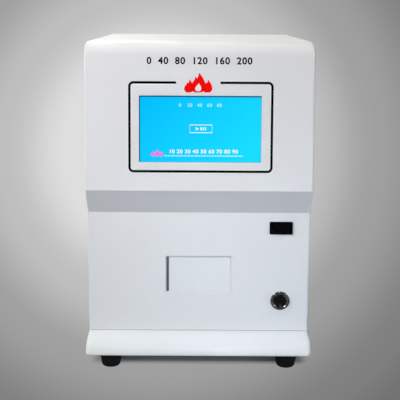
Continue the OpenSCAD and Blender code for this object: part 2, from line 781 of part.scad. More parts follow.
carrier_r = cup_r + 5;
nest_pin_r = 3;
nest_pin_h = 5;
nest_r = carrier_r + nest_pin_r + slip;
module nest_pins() {
    color("#c9cccf") for (a = [45 : 90 : 315])
        translate([nest_r * cos(a), cup_y + nest_r * sin(a), tray_top])
            cylinder(r = nest_pin_r, h = nest_pin_h);
}

// Cup carrier and cup, lifted together
cup_boss_r = 10;
cup_boss_h = 2;
module cup_carrier() {
    color("#efece2") translate([0, cup_y, tray_top + carrier_gap]) difference() {
        cylinder(r = carrier_r, h = carrier_t);
        translate([0, 0, carrier_t - cup_boss_h - carrier_gap])
            cylinder(r = cup_boss_r + screw_gap, h = cup_boss_h + past);
    }
}

cup_wall = 1.5;
cup_floor = 2;
cup_rim = [3, 1.6];
cup_cove = 2;
module sample_cup() {
    inner_r = cup_r - cup_wall;
    color("#c4c6c8") translate([0, cup_y, cup_z]) rotate_extrude()
        polygon(concat([[0, -cup_boss_h], [cup_boss_r, -cup_boss_h], [cup_boss_r, 0], [cup_r, 0],
                        [cup_r, cup_h - cup_rim[1]], [cup_r + cup_rim[0], cup_h - cup_rim[1]],
                        [cup_r + cup_rim[0], cup_h], [inner_r, cup_h]],
                       arc(inner_r - cup_cove, cup_floor + cup_cove, cup_cove, 0, -90, 4),
                       [[0, cup_floor]]));
}

magnet_r = 2;
magnet_l = 14;
module stir_magnet() {
    color("#f2f2f0") translate([0, cup_y, cup_z + cup_floor + slip + magnet_r]) rotate([0, 90, 0])
        rotate_extrude() polygon(concat(arc(0, magnet_l / 2 - magnet_r, magnet_r, 90, 0, 4),
                                        arc(0, magnet_r - magnet_l / 2, magnet_r, 0, -90, 4)));
}

// Lift: toothed rod in a guide, a head under the carrier, and a pinion beside it
guide_back = 14;
guide_x0 = -rod_w / 2 - guide_back;
guide_gap = 0.1;
jaw_low = 15;
jaw_gap = 2;
jaw_top = lift_gear_z + tip_r + jaw_gap;
jaw_h = 6;
guide_wall = 4;
module lift_guide() {
    reach = rod_w / 2 + guide_wall - gear_m;
    side = rod_w / 2 + guide_wall;
    color("#9fa3a6") translate([0, cup_y, 0]) difference() {
        union() {
            block([guide_x0, -side, rim_z], [-rod_w / 2 - guide_gap, side, jaw_top + jaw_h]);
            block([guide_x0, -side, rim_z], [reach, side, rim_z + jaw_low]);
            block([guide_x0, -side, jaw_top], [reach, side, jaw_top + jaw_h]);
        }
        block([-rod_w / 2 - guide_gap, -rod_w / 2 - guide_gap, rim_z + past],
              [rod_w / 2 + gear_m + guide_gap, rod_w / 2 + guide_gap, body_h]);
    }
}

lift_teeth = ceil((lift_travel + 5 * rack_pitch) / rack_pitch);
lift_root = 0.3 * gear_m;
lift_back = 2;
module lift_rod() {
    core = rod_w / 2 - lift_root;
    rack_z = lift_gear_z - (floor(lift_travel / rack_pitch) + 3) * rack_pitch;
    color("#c9cccf") translate([0, cup_y, 0]) {
        difference() {
            block([-rod_w / 2, -rod_w / 2, rod_z0], [core, rod_w / 2, head_top - head_t]);
            block([core - lift_back, -rod_w, rack_z], [rod_w, rod_w, rack_z + lift_teeth * rack_pitch]);
        }
        translate([rod_w / 2, rod_w / 2, rack_z]) rotate([90, 0, 0]) linear_extrude(height = rod_w)
            rotate(90) mirror([0, 1]) polygon(lift_outline(lift_teeth));
        translate([0, 0, head_top - head_t]) cylinder(r = head_r, h = head_t);
    }
}

// Lift rack outline, as the tray's, with a back that reaches into the rod
function lift_outline(n) = let (back = -lift_back - lift_root) concat([[0, back]],
    [for (p = rack_outline(n)) if (p[1] > -1.5 * gear_m) p], [[n * rack_pitch, back]]);

module lift_pinion() {
    color("#d9c27a") translate([lift_gear_x, cup_y - lift_gear_w / 2, lift_gear_z])
        rotate([-90, 0, 0]) rotate(180) pinion(lift_gear_w);
}

lift_motor_in = 16;
lift_motor_y = cup_y + lift_gear_w / 2 + lift_motor_in;
shaft_bore = 15;
shaft_in = 12;
shaft_out = 2;
module lift_shaft() {
    y0 = cup_y - lift_gear_w / 2 - shaft_out;
    color("#e3e4e5") rod_y(lift_gear_x, lift_gear_z, shaft_r, y0, lift_motor_y + shaft_in);
}

// Stepper motor: two chamfered square caps on a round stack, a centring boss and tapped holes
motor_l = 34;
motor_caps = [8, 9];
motor_chamfer = 3.5;
motor_boss_r = 11;
motor_boss_h = 2;
motor_tap = 4.5;
function motor_pitch(w) = 0.74 * w;
module motor(w) {
    c = w / 2;
    d = c - motor_chamfer;
    difference() {
        union() {
            for (z = [[0, motor_caps[0]], [motor_l - motor_caps[1], motor_l]])
                translate([0, 0, z[0]]) linear_extrude(height = z[1] - z[0])
                    polygon([for (a = [0 : 90 : 270]) each
                        [[c * cos(a) - d * sin(a), c * sin(a) + d * cos(a)],
                         [d * cos(a) - c * sin(a), d * sin(a) + c * cos(a)]]]);
            translate([0, 0, past]) cylinder(r = c - past, h = motor_l - 2 * past);
            translate([0, 0, -motor_boss_h]) cylinder(r = motor_boss_r, h = motor_boss_h + past);
        }
        translate([0, 0, -motor_boss_h - past])
            cylinder(r = shaft_r + run, h = motor_boss_h + past + shaft_bore);
        for (x = [-1, 1]) for (y = [-1, 1])
            translate([x * motor_pitch(w) / 2, y * motor_pitch(w) / 2, -past])
                cylinder(r = m3_core_r, h = motor_tap + past);
    }
}

module lift_motor() {
    color("#3b3d40") translate([lift_gear_x, lift_motor_y, lift_gear_z]) rotate([-90, 0, 0])
        motor(lift_motor_w);
}

bracket_foot = 16;
module lift_bracket() {
    w = lift_motor_w;
    color("#b9bcbf") translate([lift_gear_x, lift_motor_y, 0]) difference() {
        union() {
            block([-w / 2, -plate_t, rim_z], [w / 2, 0, lift_gear_z + w / 2]);
            block([-w / 2, -plate_t, rim_z], [w / 2, bracket_foot, rim_z + plate_t]);
        }
        rotate([0, 0, -90]) motor_seat(0, lift_gear_z, w, 0);
    }
}

// Tray drive outside the right frame plate
module tray_pinion() {
    color("#d9c27a") translate([rack_x0, tray_gear_y, tray_gear_z]) rotate([90, 0, 90])
        rotate(90) pinion(rack_w);
}

module tray_shaft() {
    color("#e3e4e5")
        rod_x(tray_gear_y, tray_gear_z, shaft_r, rack_x0 - shaft_out / 2, frame_x + plate_t + shaft_in);
}

module tray_motor() {
    color("#3b3d40") translate([frame_x + plate_t, tray_gear_y, tray_gear_z]) rotate([0, 90, 0])
        motor(motor_w);
}

// Oven: deck across the frame plates, heated block, jacket, heaters and probes
module oven_deck() {
    w = frame_x + plate_t;
    color("#b9bcbf") difference() {
        block([-w, rail_y0, deck_z], [w, cup_y + oven_flange_r + jacket_t, deck_z + plate_t]);
        translate([0, cup_y, deck_z - past]) cylinder(r = oven_r + slip, h = plate_t + 2 * past);
    }
}

probe_pts = [[-9, 0], [9, 0], [0, 9]];
module oven_block() {
    color("#b4b7ba") translate([0, cup_y, 0]) difference() {
        union() {
            translate([0, 0, oven_z]) cylinder(r = oven_r, h = oven_h);
            translate([0, 0, deck_z + plate_t]) cylinder(r = oven_flange_r, h = oven_flange_t);
        }
        for (p = [probe_pts[0], probe_pts[1]])
            translate([p[0], p[1], oven_z - past]) cylinder(r = sleeve_r + screw_gap, h = oven_h + 2 * past);
        translate([probe_pts[2][0], probe_pts[2][1], oven_z - past])
            cylinder(r = probe_r + screw_gap, h = oven_h + 2 * past);
        for (x = [-1, 1])
            translate([x * heater_x, heater_y, oven_z + heater_up])
                cylinder(r = heater_r + screw_gap, h = oven_h);
    }
}

module oven_jacket() {
    z0 = deck_z + plate_t + oven_flange_t;
    color("#f1efe6") translate([0, cup_y, 0]) difference() {
        translate([0, 0, z0]) cylinder(r = oven_flange_r, h = oven_z + oven_h - z0);
        translate([0, 0, z0 - past]) cylinder(r = oven_r + slip, h = oven_h + 2 * past);
    }
}

heater_r = 3.2;
heater_x = 20;
heater_y = -10;
heater_up = 8;
heater_gap = 0.2;
module heater_cartridges() {
    color("#caa46a") translate([0, cup_y + heater_y, oven_z + heater_up + heater_gap]) for (x = [-1, 1])
        translate([x * heater_x, 0, 0]) cylinder(r = heater_r, h = oven_h - heater_up / 2);
}

electrode_r = 0.8;
sleeve_r = 2.5;
probe_r = 1.1;
tip_drop = 4;
sleeve_out = 8;
electrode_out = 12;
electrode_cap = [2, 5];
probe_out = 3;
probe_head = [3, 12];
module electrodes() {
    color("#d5d7d9") translate([0, cup_y, oven_z]) for (p = [probe_pts[0], probe_pts[1]])
        translate([p[0], p[1], 0]) {
            translate([0, 0, -tip_drop]) cylinder(r = electrode_r, h = oven_h + tip_drop + electrode_out);
            translate([0, 0, oven_h + electrode_out]) cylinder(r = electrode_cap[0], h = electrode_cap[1]);
        }
}

// Ceramic sleeves, which stand out of the block to keep the spark from it
module electrode_sleeves() {
    color("#f4f2ea") translate([0, cup_y, oven_z]) for (p = [probe_pts[0], probe_pts[1]])
        translate([p[0], p[1], 0]) difference() {
            cylinder(r = sleeve_r, h = oven_h + sleeve_out);
            translate([0, 0, -past])
                cylinder(r = electrode_r + screw_gap, h = oven_h + sleeve_out + 2 * past);
        }
}

module thermocouple() {
    color("#d5d7d9") translate([probe_pts[2][0], cup_y + probe_pts[2][1], oven_z]) {
        translate([0, 0, -tip_drop]) cylinder(r = probe_r, h = oven_h + tip_drop + probe_out + past);
        translate([0, 0, oven_h + probe_out]) cylinder(r = probe_head[0], h = probe_head[1]);
    }
}

// Power rocker: flanged housing in the panel, paddle on a pin through its ears
rocker_z = rim_z + rocker_s;
rocker_rim = 1.5;
rocker_body_w = rocker_w - 2 * rocker_rim;
rocker_body_h = rocker_h - 2 * rocker_rim;
rocker_gap = 0.2;
rocker_wall = 1.3;
rocker_cave_w = rocker_body_w - 2 * rocker_wall;
rocker_cave_h = rocker_body_h - 2 * rocker_wall;
rocker_pivot_y = face_y + 1.5;
rocker_pin_r = 1.5;
rocker_pin_in = 1;
rocker_body_d = 20;
rocker_cave_d = 9;
rocker_tab = [0.8, 7, 4.8];
rocker_tab_x = 8;
module rocker_housing() {
    tab_y = face_y + rocker_body_d;
    color("#131315") difference() {
        union() {
            translate([rocker_x, 0, rocker_z]) along_y(face_y - rocker_flange, face_y)
                polygon(round_rect(rocker_w, rocker_h, rocker_rim));
            block([rocker_x - rocker_body_w / 2, face_y - past, rocker_z - rocker_body_h / 2],
                  [rocker_x + rocker_body_w / 2, tab_y, rocker_z + rocker_body_h / 2]);
            for (x = [-rocker_tab_x, 0, rocker_tab_x])
                translate([rocker_x + x, 0, rocker_z])
                    block([-rocker_tab[0] / 2, tab_y - past, -rocker_tab[2] / 2],
                          [rocker_tab[0] / 2, tab_y + rocker_tab[1], rocker_tab[2] / 2]);
        }
        block([rocker_x - rocker_cave_w / 2, face_y - rocker_flange - past, rocker_z - rocker_cave_h / 2],
              [rocker_x + rocker_cave_w / 2, face_y + rocker_cave_d, rocker_z + rocker_cave_h / 2]);
        translate([rocker_x, rocker_pivot_y, rocker_z - rocker_cave_h / 2 - rocker_pin_in - screw_gap])
            cylinder(r = rocker_pin_r + run, h = rocker_cave_h + 2 * (rocker_pin_in + screw_gap));
    }
}

// Paddle with a shallow V across its face and rounded ends
paddle_end_gap = 1.3;
paddle_raise = 5.1;
paddle_dip = 1.4;
paddle_round = 0.9;
module rocker_paddle() {
    half = rocker_cave_w / 2 - paddle_end_gap;
    h = rocker_cave_h - 2 * slip;
    end = arc(half - paddle_round, paddle_round - paddle_raise, paddle_round, -90, 0, 3);
    color("#0d0d10") translate([rocker_x, rocker_pivot_y, rocker_z]) rotate([0, 0, -rocker_tilt]) {
        translate([0, 0, -h / 2]) linear_extrude(height = h)
            polygon(concat([[-half, rocker_pin_r]], flip_x(backwards(end)), [[0, paddle_dip - paddle_raise]],
                           end, [[half, rocker_pin_r]]));
        translate([0, 0, -rocker_cave_h / 2 - rocker_pin_in])
            cylinder(r = rocker_pin_r, h = rocker_cave_h + 2 * rocker_pin_in);
    }
}

// Start button: chrome bezel and barrel, black cap, nut behind the panel
button_z = rim_z + button_s;
bezel_t = 2.2;
bezel_round = 1.4;
bezel_lip = 0.9;
cap_gap = 0.1;
cap_flange = 1.2;
cap_flange_t = 1.5;
cap_out = 1.4;
cap_dish = 0.4;
cap_rim_w = 2.2;
shoulder = 5;
stem_r = 3;
stem_l = 6;
stem_gap = 5;
barrel_floor = 2;
barrel_l = shoulder + stem_l + button_travel + stem_gap + barrel_floor;
button_nut_t = 3;
button_nut_r = 15;
module button_bezel() {
    color("#c9cbcd") turned_y(button_x, face_y, button_z, concat(
        [[cap_r + cap_gap, bezel_t - bezel_lip], [cap_r + cap_gap + bezel_lip, bezel_t]],
        arc(bezel_r - bezel_round, bezel_t - bezel_round, bezel_round, 90, 0, 4),
        [[bezel_r, 0], [barrel_r, 0], [barrel_r, -barrel_l], [0, -barrel_l], [0, barrel_floor - barrel_l],
         [cap_r + cap_flange + cap_gap, barrel_floor - barrel_l], [cap_r + cap_flange + cap_gap, -shoulder],
         [cap_r + cap_gap, -shoulder]]));
}

module button_cap() {
    flange_h = -shoulder - cap_gap;
    color("#0b0b0c") turned_y(button_x, face_y, button_z, concat(
        [[0, cap_out - 2 * cap_dish], [cap_r - cap_rim_w, cap_out - cap_dish]],
        arc(cap_r - cap_rim_w / 2, cap_out - cap_rim_w / 2, cap_rim_w / 2, 90, 0, 4),
        [[cap_r, flange_h], [cap_r + cap_flange, flange_h], [cap_r + cap_flange, flange_h - cap_flange_t],
         [stem_r, flange_h - cap_flange_t], [stem_r, -shoulder - stem_l], [0, -shoulder - stem_l]]));
}

module button_nut() {
    color("#b8babd") difference() {
        rod_y(button_x, button_z, button_nut_r, back_y, back_y + button_nut_t, $fn = 6);
        rod_y(button_x, button_z, barrel_r + run, back_y - past, back_y + button_nut_t + past);
    }
}

// Controller board on an upright bracket, with its port through the rear panel
board_t = 1.6;
board_standoff = 8;
board_in = 6;
board_x = port_x + board_in;
bracket_x = board_x + board_t + board_standoff;
board_below = 35;
board_above = 95;
board_z0 = port_z - board_below;
board_z1 = port_z + board_above;
board_l = 124.5;
board_rear = 4;
board_y1 = rear_in - board_rear;
board_y0 = board_y1 - board_l;
standoff_r = 3;
standoff_in = 6;
bracket_w = 14;
bracket_margin = 6;
board_posts = [for (y = [board_y0 + standoff_in, board_y1 - 2 * standoff_in])
    for (z = [board_z0 + standoff_in, board_z1 - standoff_in]) [y, z]];
// Blocks on the board, as distance from its front edge, height on it, length, height and depth
board_blocks = [[30, 40, 24, 24, 3], [6, 75, 8, 40, 8], [66, 80, 18, 18, 9], [66, 102, 18, 18, 9],
                [30, 3, 60, 8, 10]];
// Round capacitors, as distance from the front edge, height on the board, radius and depth
board_cans = [[14, 22, 5, 11], [14, 38, 5, 11], [92, 72, 4, 9]];
module controller_board() {
    color("#1f6b3c") difference() {
        union() {
            block([board_x, board_y0, board_z0], [board_x + board_t, board_y1, board_z1]);
            for (b = board_blocks)
                translate([board_x, board_y0 + b[0], board_z0 + b[1]])
                    block([-b[4], 0, 0], [eps, b[2], b[3]]);
            for (c = board_cans)
                rod_x(board_y0 + c[0], board_z0 + c[1], c[2], board_x - c[3], board_x + eps);
        }
        for (p = board_posts)
            rod_x(p[0], p[1], m3_hole_r, board_x - past, board_x + board_t + past);
    }
}

module board_bracket() {
    z0 = board_z0 - bracket_margin;
    z1 = board_z1 + bracket_margin;
    color("#b9bcbf") {
        block([bracket_x, board_y0, z0], [bracket_x + plate_t, rear_in, z1]);
        block([bracket_x, rear_in - plate_t, z0], [bracket_x + bracket_w, rear_in, z1]);
        for (p = board_posts)
            rod_x(p[0], p[1], standoff_r, board_x + board_t, bracket_x + eps);
    }
}

// Nine-way port, its long side upright: a flange behind the panel and a D-shaped shell through it
port_shell = [[-7.8, -3.8], [7.8, -3.8], [8.55, 3.8], [-8.55, 3.8]];
port_flange_w = 11.6;
port_back = 12;
port_out = 2.6;
module serial_port() {
    color("#b8babd") translate([port_x, 0, port_z]) rotate([0, 90, 0]) {
        along_y(rear_in - port_back, rear_in - run) polygon(round_rect(port_w, port_flange_w, 1));
        along_y(rear_in - past, rear_face + port_out) polygon(port_shell);
    }
}

// Power supply in the chassis plate's rear left corner, with a row of screw terminals in front
box_in = 3;
supply = [47, 104, 38];
terminal_d = 12;
terminal_h = 14;
terminal_side = 4;
terminals = 5;
terminal_w = 5.6;
terminal_low = 6;
module power_supply() {
    row = supply[0] - 2 * terminal_side;
    color("#a9acaf") translate([box_in - chassis_x, chassis_y1 - box_in - supply[1], rim_z]) {
        block([0, 0, 0], supply);
        difference() {
            block([terminal_side, -terminal_d, 0], [supply[0] - terminal_side, eps, terminal_h]);
            for (i = [0 : terminals - 1])
                translate([terminal_side + (i + 0.5) * row / terminals, 0, 0])
                    block([-terminal_w / 2, -terminal_d - past, terminal_low],
                          [terminal_w / 2, -past, terminal_h + past]);
        }
    }
}

// Ignition module behind the tray motor, on a flange, with two high-voltage posts
ignition = [36, 60, 30];
ignition_flange = [7, 3];
ignition_side = 8;
ignition_clear = 30;
ignition_post = [5, 3.5, 9];
module ignition_module() {
    ends = [-ignition_flange[0], ignition[1] + ignition_flange[0]];
    color("#26282b")
    translate([chassis_x - ignition_side - ignition[0], tray_gear_y + motor_w / 2 + ignition_clear, rim_z]) {
        block([0, 0, 0], ignition);
        difference() {
            block([0, ends[0], 0], [ignition[0], ends[1], ignition_flange[1]]);
            for (y = [ends[0] + ignition_flange[0] / 2, ends[1] - ignition_flange[0] / 2])
                translate([ignition[0] / 2, y, -past])
                    cylinder(r = m3_hole_r, h = ignition_flange[1] + 2 * past);
        }
        for (y = [0.25, 0.75])
            translate([ignition[0] / 2, y * ignition[1], ignition[2] - eps])
                cylinder(r1 = ignition_post[0], r2 = ignition_post[1], h = ignition_post[2]);
    }
}

// Air pump in the front left corner: a motor on a saddle, with a head that has two nozzles
pump_r = 13;
pump_l = 42;
pump_lift = 2;
pump_head = [28, 16, 29];
pump_saddle = [20, 40, 5];
pump_side = 12;
pump_front = 26;
nozzle_r = 2;
nozzle_bore_r = 1;
nozzle_h = 8;
nozzle_x = 5;
nozzle_y = pump_l + pump_head[1] / 2;
module air_pump() {
    color("#4a4d52")
    translate([pump_side + pump_head[0] / 2 - chassis_x, chassis_y0 + pump_front, rim_z]) difference() {
        union() {
            rod_y(0, pump_r + pump_lift, pump_r, 0, pump_l + eps);
            translate([0, pump_l, 0])
                block([-pump_head[0] / 2, 0, 0], [pump_head[0] / 2, pump_head[1], pump_head[2]]);
            translate([0, pump_l - pump_saddle[1], 0])
                block([-pump_saddle[0] / 2, 0, 0],
                      [pump_saddle[0] / 2, pump_saddle[1] + eps, pump_saddle[2]]);
            for (x = [-nozzle_x, nozzle_x])
                translate([x, nozzle_y, pump_head[2] - eps]) cylinder(r = nozzle_r, h = nozzle_h);
        }
        for (x = [-nozzle_x, nozzle_x])
            translate([x, nozzle_y, pump_head[2]]) cylinder(r = nozzle_bore_r, h = nozzle_h + past);
    }
}

// Cooling fan behind the rear panel, its guard outside
fan_y1 = rear_in;
fan_y0 = fan_y1 - fan_d;
hub_r = 16;
fan_shaft_r = 1.5;
fan_corner = 4;
fan_arm = [5, 3];
fan_boss = [4, 12];
blade_gap = 1.5;
blade_r = fan_bore - blade_gap;
blades = 7;
blade_t = 1.6;
blade_pitch = 38;
blade_reach = 14;
module fan_frame() {
    color("#1b1c1e") difference() {
        union() {
            difference() {
                translate([0, 0, fan_z])
                    along_y(fan_y0, fan_y1) polygon(round_rect(fan_w, fan_w, fan_corner));
                rod_y(0, fan_z, fan_bore, fan_y0 - past, fan_y1 + past);
            }
            rod_y(0, fan_z, hub_r, fan_y0, fan_y0 + fan_arm[1]);
            for (a = [45 : 90 : 315])
                translate([0, 0, fan_z]) rotate([0, a, 0])
                    block([hub_r - past, fan_y0, -fan_arm[0] / 2],
                          [fan_bore + past, fan_y0 + fan_arm[1], fan_arm[0] / 2]);
            rod_y(0, fan_z, fan_boss[0], fan_y0, fan_y0 + fan_boss[1]);
        }
        rod_y(0, fan_z, fan_shaft_r + run, fan_y0 - past, fan_y1);
        for (x = [-1, 1]) for (z = [-1, 1])
            rod_y(x * fan_pitch, fan_z + z * fan_pitch, fan_hole_r, fan_y0 - past, fan_y1 + past);
    }
}

module fan_impeller() {
    gap = 2;
    cup_t = 2;
    hub_gap = 0.5;
    turn_r = hub_r - hub_gap;
    y0 = fan_y0 + fan_arm[1] + gap;
    y1 = fan_y1 - gap / 2;
    blade_h = fan_d - fan_arm[1] - 3 * gap;
    color("#232427") {
        difference() {
            rod_y(0, fan_z, turn_r, y0, y1);
            rod_y(0, fan_z, turn_r - cup_t, y0 - past, y1 - cup_t);
        }
        rod_y(0, fan_z, fan_shaft_r, fan_y0 + past, y1 - past);
        intersection() {
            difference() {
                rod_y(0, fan_z, blade_r, y0, y0 + blade_h);
                rod_y(0, fan_z, hub_r - cup_t / 2, y0 - past, y0 + blade_h + past);
            }
            for (i = [0 : blades - 1])
                translate([0, y0 + blade_h / 2, fan_z]) rotate([0, i * 360 / blades, 0])
                    rotate([0, 0, blade_pitch])
                        block([-blade_reach, -blade_t / 2, 0], [blade_reach, blade_t / 2, fan_w]);
        }
    }
}

guard_bar = 1.8;
guard_t = 1.6;
guard_eye_r = 3.6;
guard_rings = 4;
module fan_guard() {
    outer = fan_bore + past;
    color("#c4c6c9") translate([0, 0, fan_z]) along_y(rear_face, rear_face + guard_t) {
        for (i = [1 : guard_rings]) let (r = outer * i / guard_rings) difference() {
            circle(r = r);
            circle(r = r - guard_bar);
        }
        difference() {
            union() {
                for (a = [45 : 90 : 315])
                    rotate(a) translate([(outer / guard_rings - guard_bar / 2), -guard_bar / 2])
                        square([fan_pitch * sqrt(2) - outer / guard_rings, guard_bar]);
                for (x = [-1, 1]) for (z = [-1, 1])
                    translate([x * fan_pitch, z * fan_pitch]) circle(r = guard_eye_r);
            }
            for (x = [-1, 1]) for (z = [-1, 1])
                translate([x * fan_pitch, z * fan_pitch]) circle(r = fan_hole_r);
        }
    }
}

// Mains inlet: a flange and a body let into the rear panel, with three blades in its socket
inlet_depth = 16;
inlet_out = 2.4;
inlet_corner = 4;
inlet_floor_t = 5;
socket_x = 12.2;
socket_z = 7.8;
socket_cut = 3.3;
blade = [2, 4];
blade_places = [[-7, -1.5], [7, -1.5], [0, 2.5]];
module mains_inlet() {
    face = rear_face + inlet_out;
    floor_y = rear_face + rear_sunk - inlet_depth;
    color("#151517") translate([inlet_x, 0, inlet_z]) {
        difference() {
            union() {
                along_y(rear_face, face) polygon(round_rect(inlet_w, inlet_h, inlet_corner));
                block([-inlet_body_w / 2, floor_y - inlet_floor_t, -inlet_body_h / 2],
                      [inlet_body_w / 2, rear_face + past, inlet_body_h / 2]);
            }
            along_y(floor_y, face + past)
                polygon([[-socket_x, -socket_z], [socket_x, -socket_z], [socket_x, socket_z - socket_cut],
                         [socket_x - socket_cut, socket_z], [socket_cut - socket_x, socket_z],
                         [-socket_x, socket_z - socket_cut]]);
            for (x = [-inlet_screw_x, inlet_screw_x])
                rod_y(x, 0, inlet_screw_r, rear_face - past, face + past);
        }
        for (p = blade_places)
            block([p[0] - blade[0] / 2, floor_y - past, p[1] - blade[1] / 2],
                  [p[0] + blade[0] / 2, rear_face - rear_sunk, p[1] + blade[1] / 2]);
    }
}

base_tray();
front_panel();
top_cover();
rear_panel();
foot(-foot_x, foot_y0);  // foot_front_left
foot(foot_x, foot_y0);  // foot_front_right
foot(-foot_x, foot_y1);  // foot_rear_left
foot(foot_x, foot_y1);  // foot_rear_right
foot_screws();
cover_screws();
display_glass();
lcd_module();
display_straps();
display_screws();
chassis_plate();
slide_frame(-1);  // slide_frame_left
slide_frame(1);  // slide_frame_right
tray_rail(-1);  // tray_rail_left
tray_rail(1);  // tray_rail_right
tray_plate();
tray_front();
tray_rack();
nest_pins();
cup_carrier();
sample_cup();
stir_magnet();
lift_guide();
lift_rod();
lift_pinion();
lift_shaft();
lift_motor();
lift_bracket();
tray_pinion();
tray_shaft();
tray_motor();
oven_deck();
oven_block();
oven_jacket();
heater_cartridges();
electrodes();
electrode_sleeves();
thermocouple();
rocker_housing();
rocker_paddle();
button_bezel();
button_cap();
button_nut();
controller_board();
board_bracket();
serial_port();
power_supply();
ignition_module();
air_pump();
fan_frame();
fan_impeller();
fan_guard();
mains_inlet();
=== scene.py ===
# Flash point tester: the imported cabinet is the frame, and each piece is finished on it or added to
# it in the order of assembly, from the base to the screws of the cover, then the studio.
import json
import math

import bmesh
import bpy
from mathutils import Matrix, Vector

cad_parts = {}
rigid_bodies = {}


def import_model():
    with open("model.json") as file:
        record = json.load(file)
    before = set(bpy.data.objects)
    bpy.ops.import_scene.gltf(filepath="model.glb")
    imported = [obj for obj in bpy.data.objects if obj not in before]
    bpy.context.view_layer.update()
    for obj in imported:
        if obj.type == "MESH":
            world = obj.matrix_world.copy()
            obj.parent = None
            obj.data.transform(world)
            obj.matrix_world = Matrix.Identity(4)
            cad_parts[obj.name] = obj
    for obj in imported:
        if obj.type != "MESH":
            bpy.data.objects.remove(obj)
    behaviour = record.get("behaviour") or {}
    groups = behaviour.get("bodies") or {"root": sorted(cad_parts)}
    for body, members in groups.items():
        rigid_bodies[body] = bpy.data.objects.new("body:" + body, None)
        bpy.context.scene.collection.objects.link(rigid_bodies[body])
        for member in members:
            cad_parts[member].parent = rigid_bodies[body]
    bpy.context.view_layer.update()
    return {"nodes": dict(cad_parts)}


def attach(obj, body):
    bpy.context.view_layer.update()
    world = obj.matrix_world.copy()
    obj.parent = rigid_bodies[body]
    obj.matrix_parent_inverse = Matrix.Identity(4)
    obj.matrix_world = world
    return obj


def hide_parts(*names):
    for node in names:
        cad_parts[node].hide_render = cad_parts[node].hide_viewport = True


for leftover in list(bpy.data.objects):
    bpy.data.objects.remove(leftover)
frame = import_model()
MM = 0.001

# Base: a one-piece moulding in satin white plastic, whose front lip curls forward under the cabinet.
# Its surface has the fine grain of the mould and slow changes of tone where the plastic cooled.


def new_paint(name):
    """A new material, its node tree and its shader."""
    made = bpy.data.materials.new(name)
    made.use_nodes = True
    return made, made.node_tree, made.node_tree.nodes["Principled BSDF"]


def put(node, values):
    """Sets the sockets of a node by their names."""
    for socket, value in values.items():
        node.inputs[socket].default_value = value


def wire(tree, *pairs):
    """Links each output to its input."""
    for source, target in pairs:
        tree.links.new(source, target)


def maths(tree, kind, operation, value=None):
    """A node that calculates, with its second value where one is given."""
    made = tree.nodes.new("ShaderNode" + kind)
    made.operation = operation
    if value is not None:
        made.inputs[1].default_value = value
    return made


def noise(tree, scale, detail=2.0):
    """A noise of so many grains a metre."""
    made = tree.nodes.new("ShaderNodeTexNoise")
    put(made, {"Scale": scale, "Detail": detail})
    return made


def finish(name, tone, rough, grain=900, relief=0.012, drift=0.02, metal=0.0, stretch=(1, 1, 1),
           coat=0.0, shine=0.5, span=0.06):
    """A finish with grain, slow clouds of tone, uneven gloss and a relief in millimetres."""
    made, tree, shader = new_paint(name)
    put(shader, {"Metallic": metal, "Coat Weight": coat, "Coat Roughness": 0.08,
                 "Specular IOR Level": shine})
    place = tree.nodes.new("ShaderNodeTexCoord")
    lay = tree.nodes.new("ShaderNodeMapping")
    put(lay, {"Scale": [grain * s for s in stretch]})
    speck = noise(tree, 1.0, 3.0)
    cloud = noise(tree, 11.0, 4.0)
    both = maths(tree, "Math", "MULTIPLY_ADD", 0.6)
    tint = tree.nodes.new("ShaderNodeMix")
    tint.data_type = "RGBA"
    put(tint, {"A": [c * (1 - 2 * drift) for c in tone] + [1],
               "B": [min(1, c * (1 + 2 * drift)) for c in tone] + [1]})
    gloss = tree.nodes.new("ShaderNodeMapRange")
    put(gloss, {"From Min": 0.3, "From Max": 0.7,
                "To Min": max(0.02, rough - span), "To Max": min(1.0, rough + span)})
    bump = tree.nodes.new("ShaderNodeBump")
    put(bump, {"Strength": 1.0, "Distance": relief * MM})
    wire(tree,
         (place.outputs["Object"], lay.inputs["Vector"]),
         (place.outputs["Object"], cloud.inputs["Vector"]),
         (lay.outputs["Vector"], speck.inputs["Vector"]),
         (speck.outputs["Fac"], both.inputs[0]),
         (cloud.outputs["Fac"], both.inputs[2]),
         (both.outputs[0], tint.inputs["Factor"]),
         (tint.outputs["Result"], shader.inputs["Base Color"]),
         (speck.outputs["Fac"], gloss.inputs["Value"]),
         (gloss.outputs["Result"], shader.inputs["Roughness"]),
         (speck.outputs["Fac"], bump.inputs["Height"]),
         (bump.outputs["Normal"], shader.inputs["Normal"]))
    return made


WELD_GAP, FLAT_ANGLE, SHARP_ANGLE = 0.002, math.radians(0.3), math.radians(31)


def ease_edges(part, edge):
    """Rounds the sharp edges of a piece by so many millimetres and shades it smooth."""
    if part.data.attributes.get("custom_normal"):
        part.data.attributes.remove(part.data.attributes["custom_normal"])
    for face in part.data.polygons:
        face.use_smooth = True
    weld = part.modifiers.new("weld", "WELD")
    weld.merge_threshold = WELD_GAP * MM
    flats = part.modifiers.new("flats", "DECIMATE")
    flats.decimate_type = "DISSOLVE"
    flats.angle_limit = FLAT_ANGLE
    rounding = part.modifiers.new("rounding", "BEVEL")
    rounding.width = edge * MM
    rounding.segments = 2
    rounding.limit_method = "ANGLE"
    rounding.angle_limit = SHARP_ANGLE
    rounding.use_clamp_overlap = False
    part.modifiers.new("shading", "WEIGHTED_NORMAL")


def dress(material, *names, edge=0.25):
    """Gives nodes of the frame their finish and eases their edges."""
    for name in names:
        node = frame["nodes"][name]
        node.data.materials.clear()
        node.data.materials.append(material)
        ease_edges(node, edge)


base_white = finish("base_white", (0.83, 0.85, 0.88), 0.36, grain=1500, relief=0.004, drift=0.012,
                    coat=0.15)
dress(base_white, "base_tray", edge=0.5)

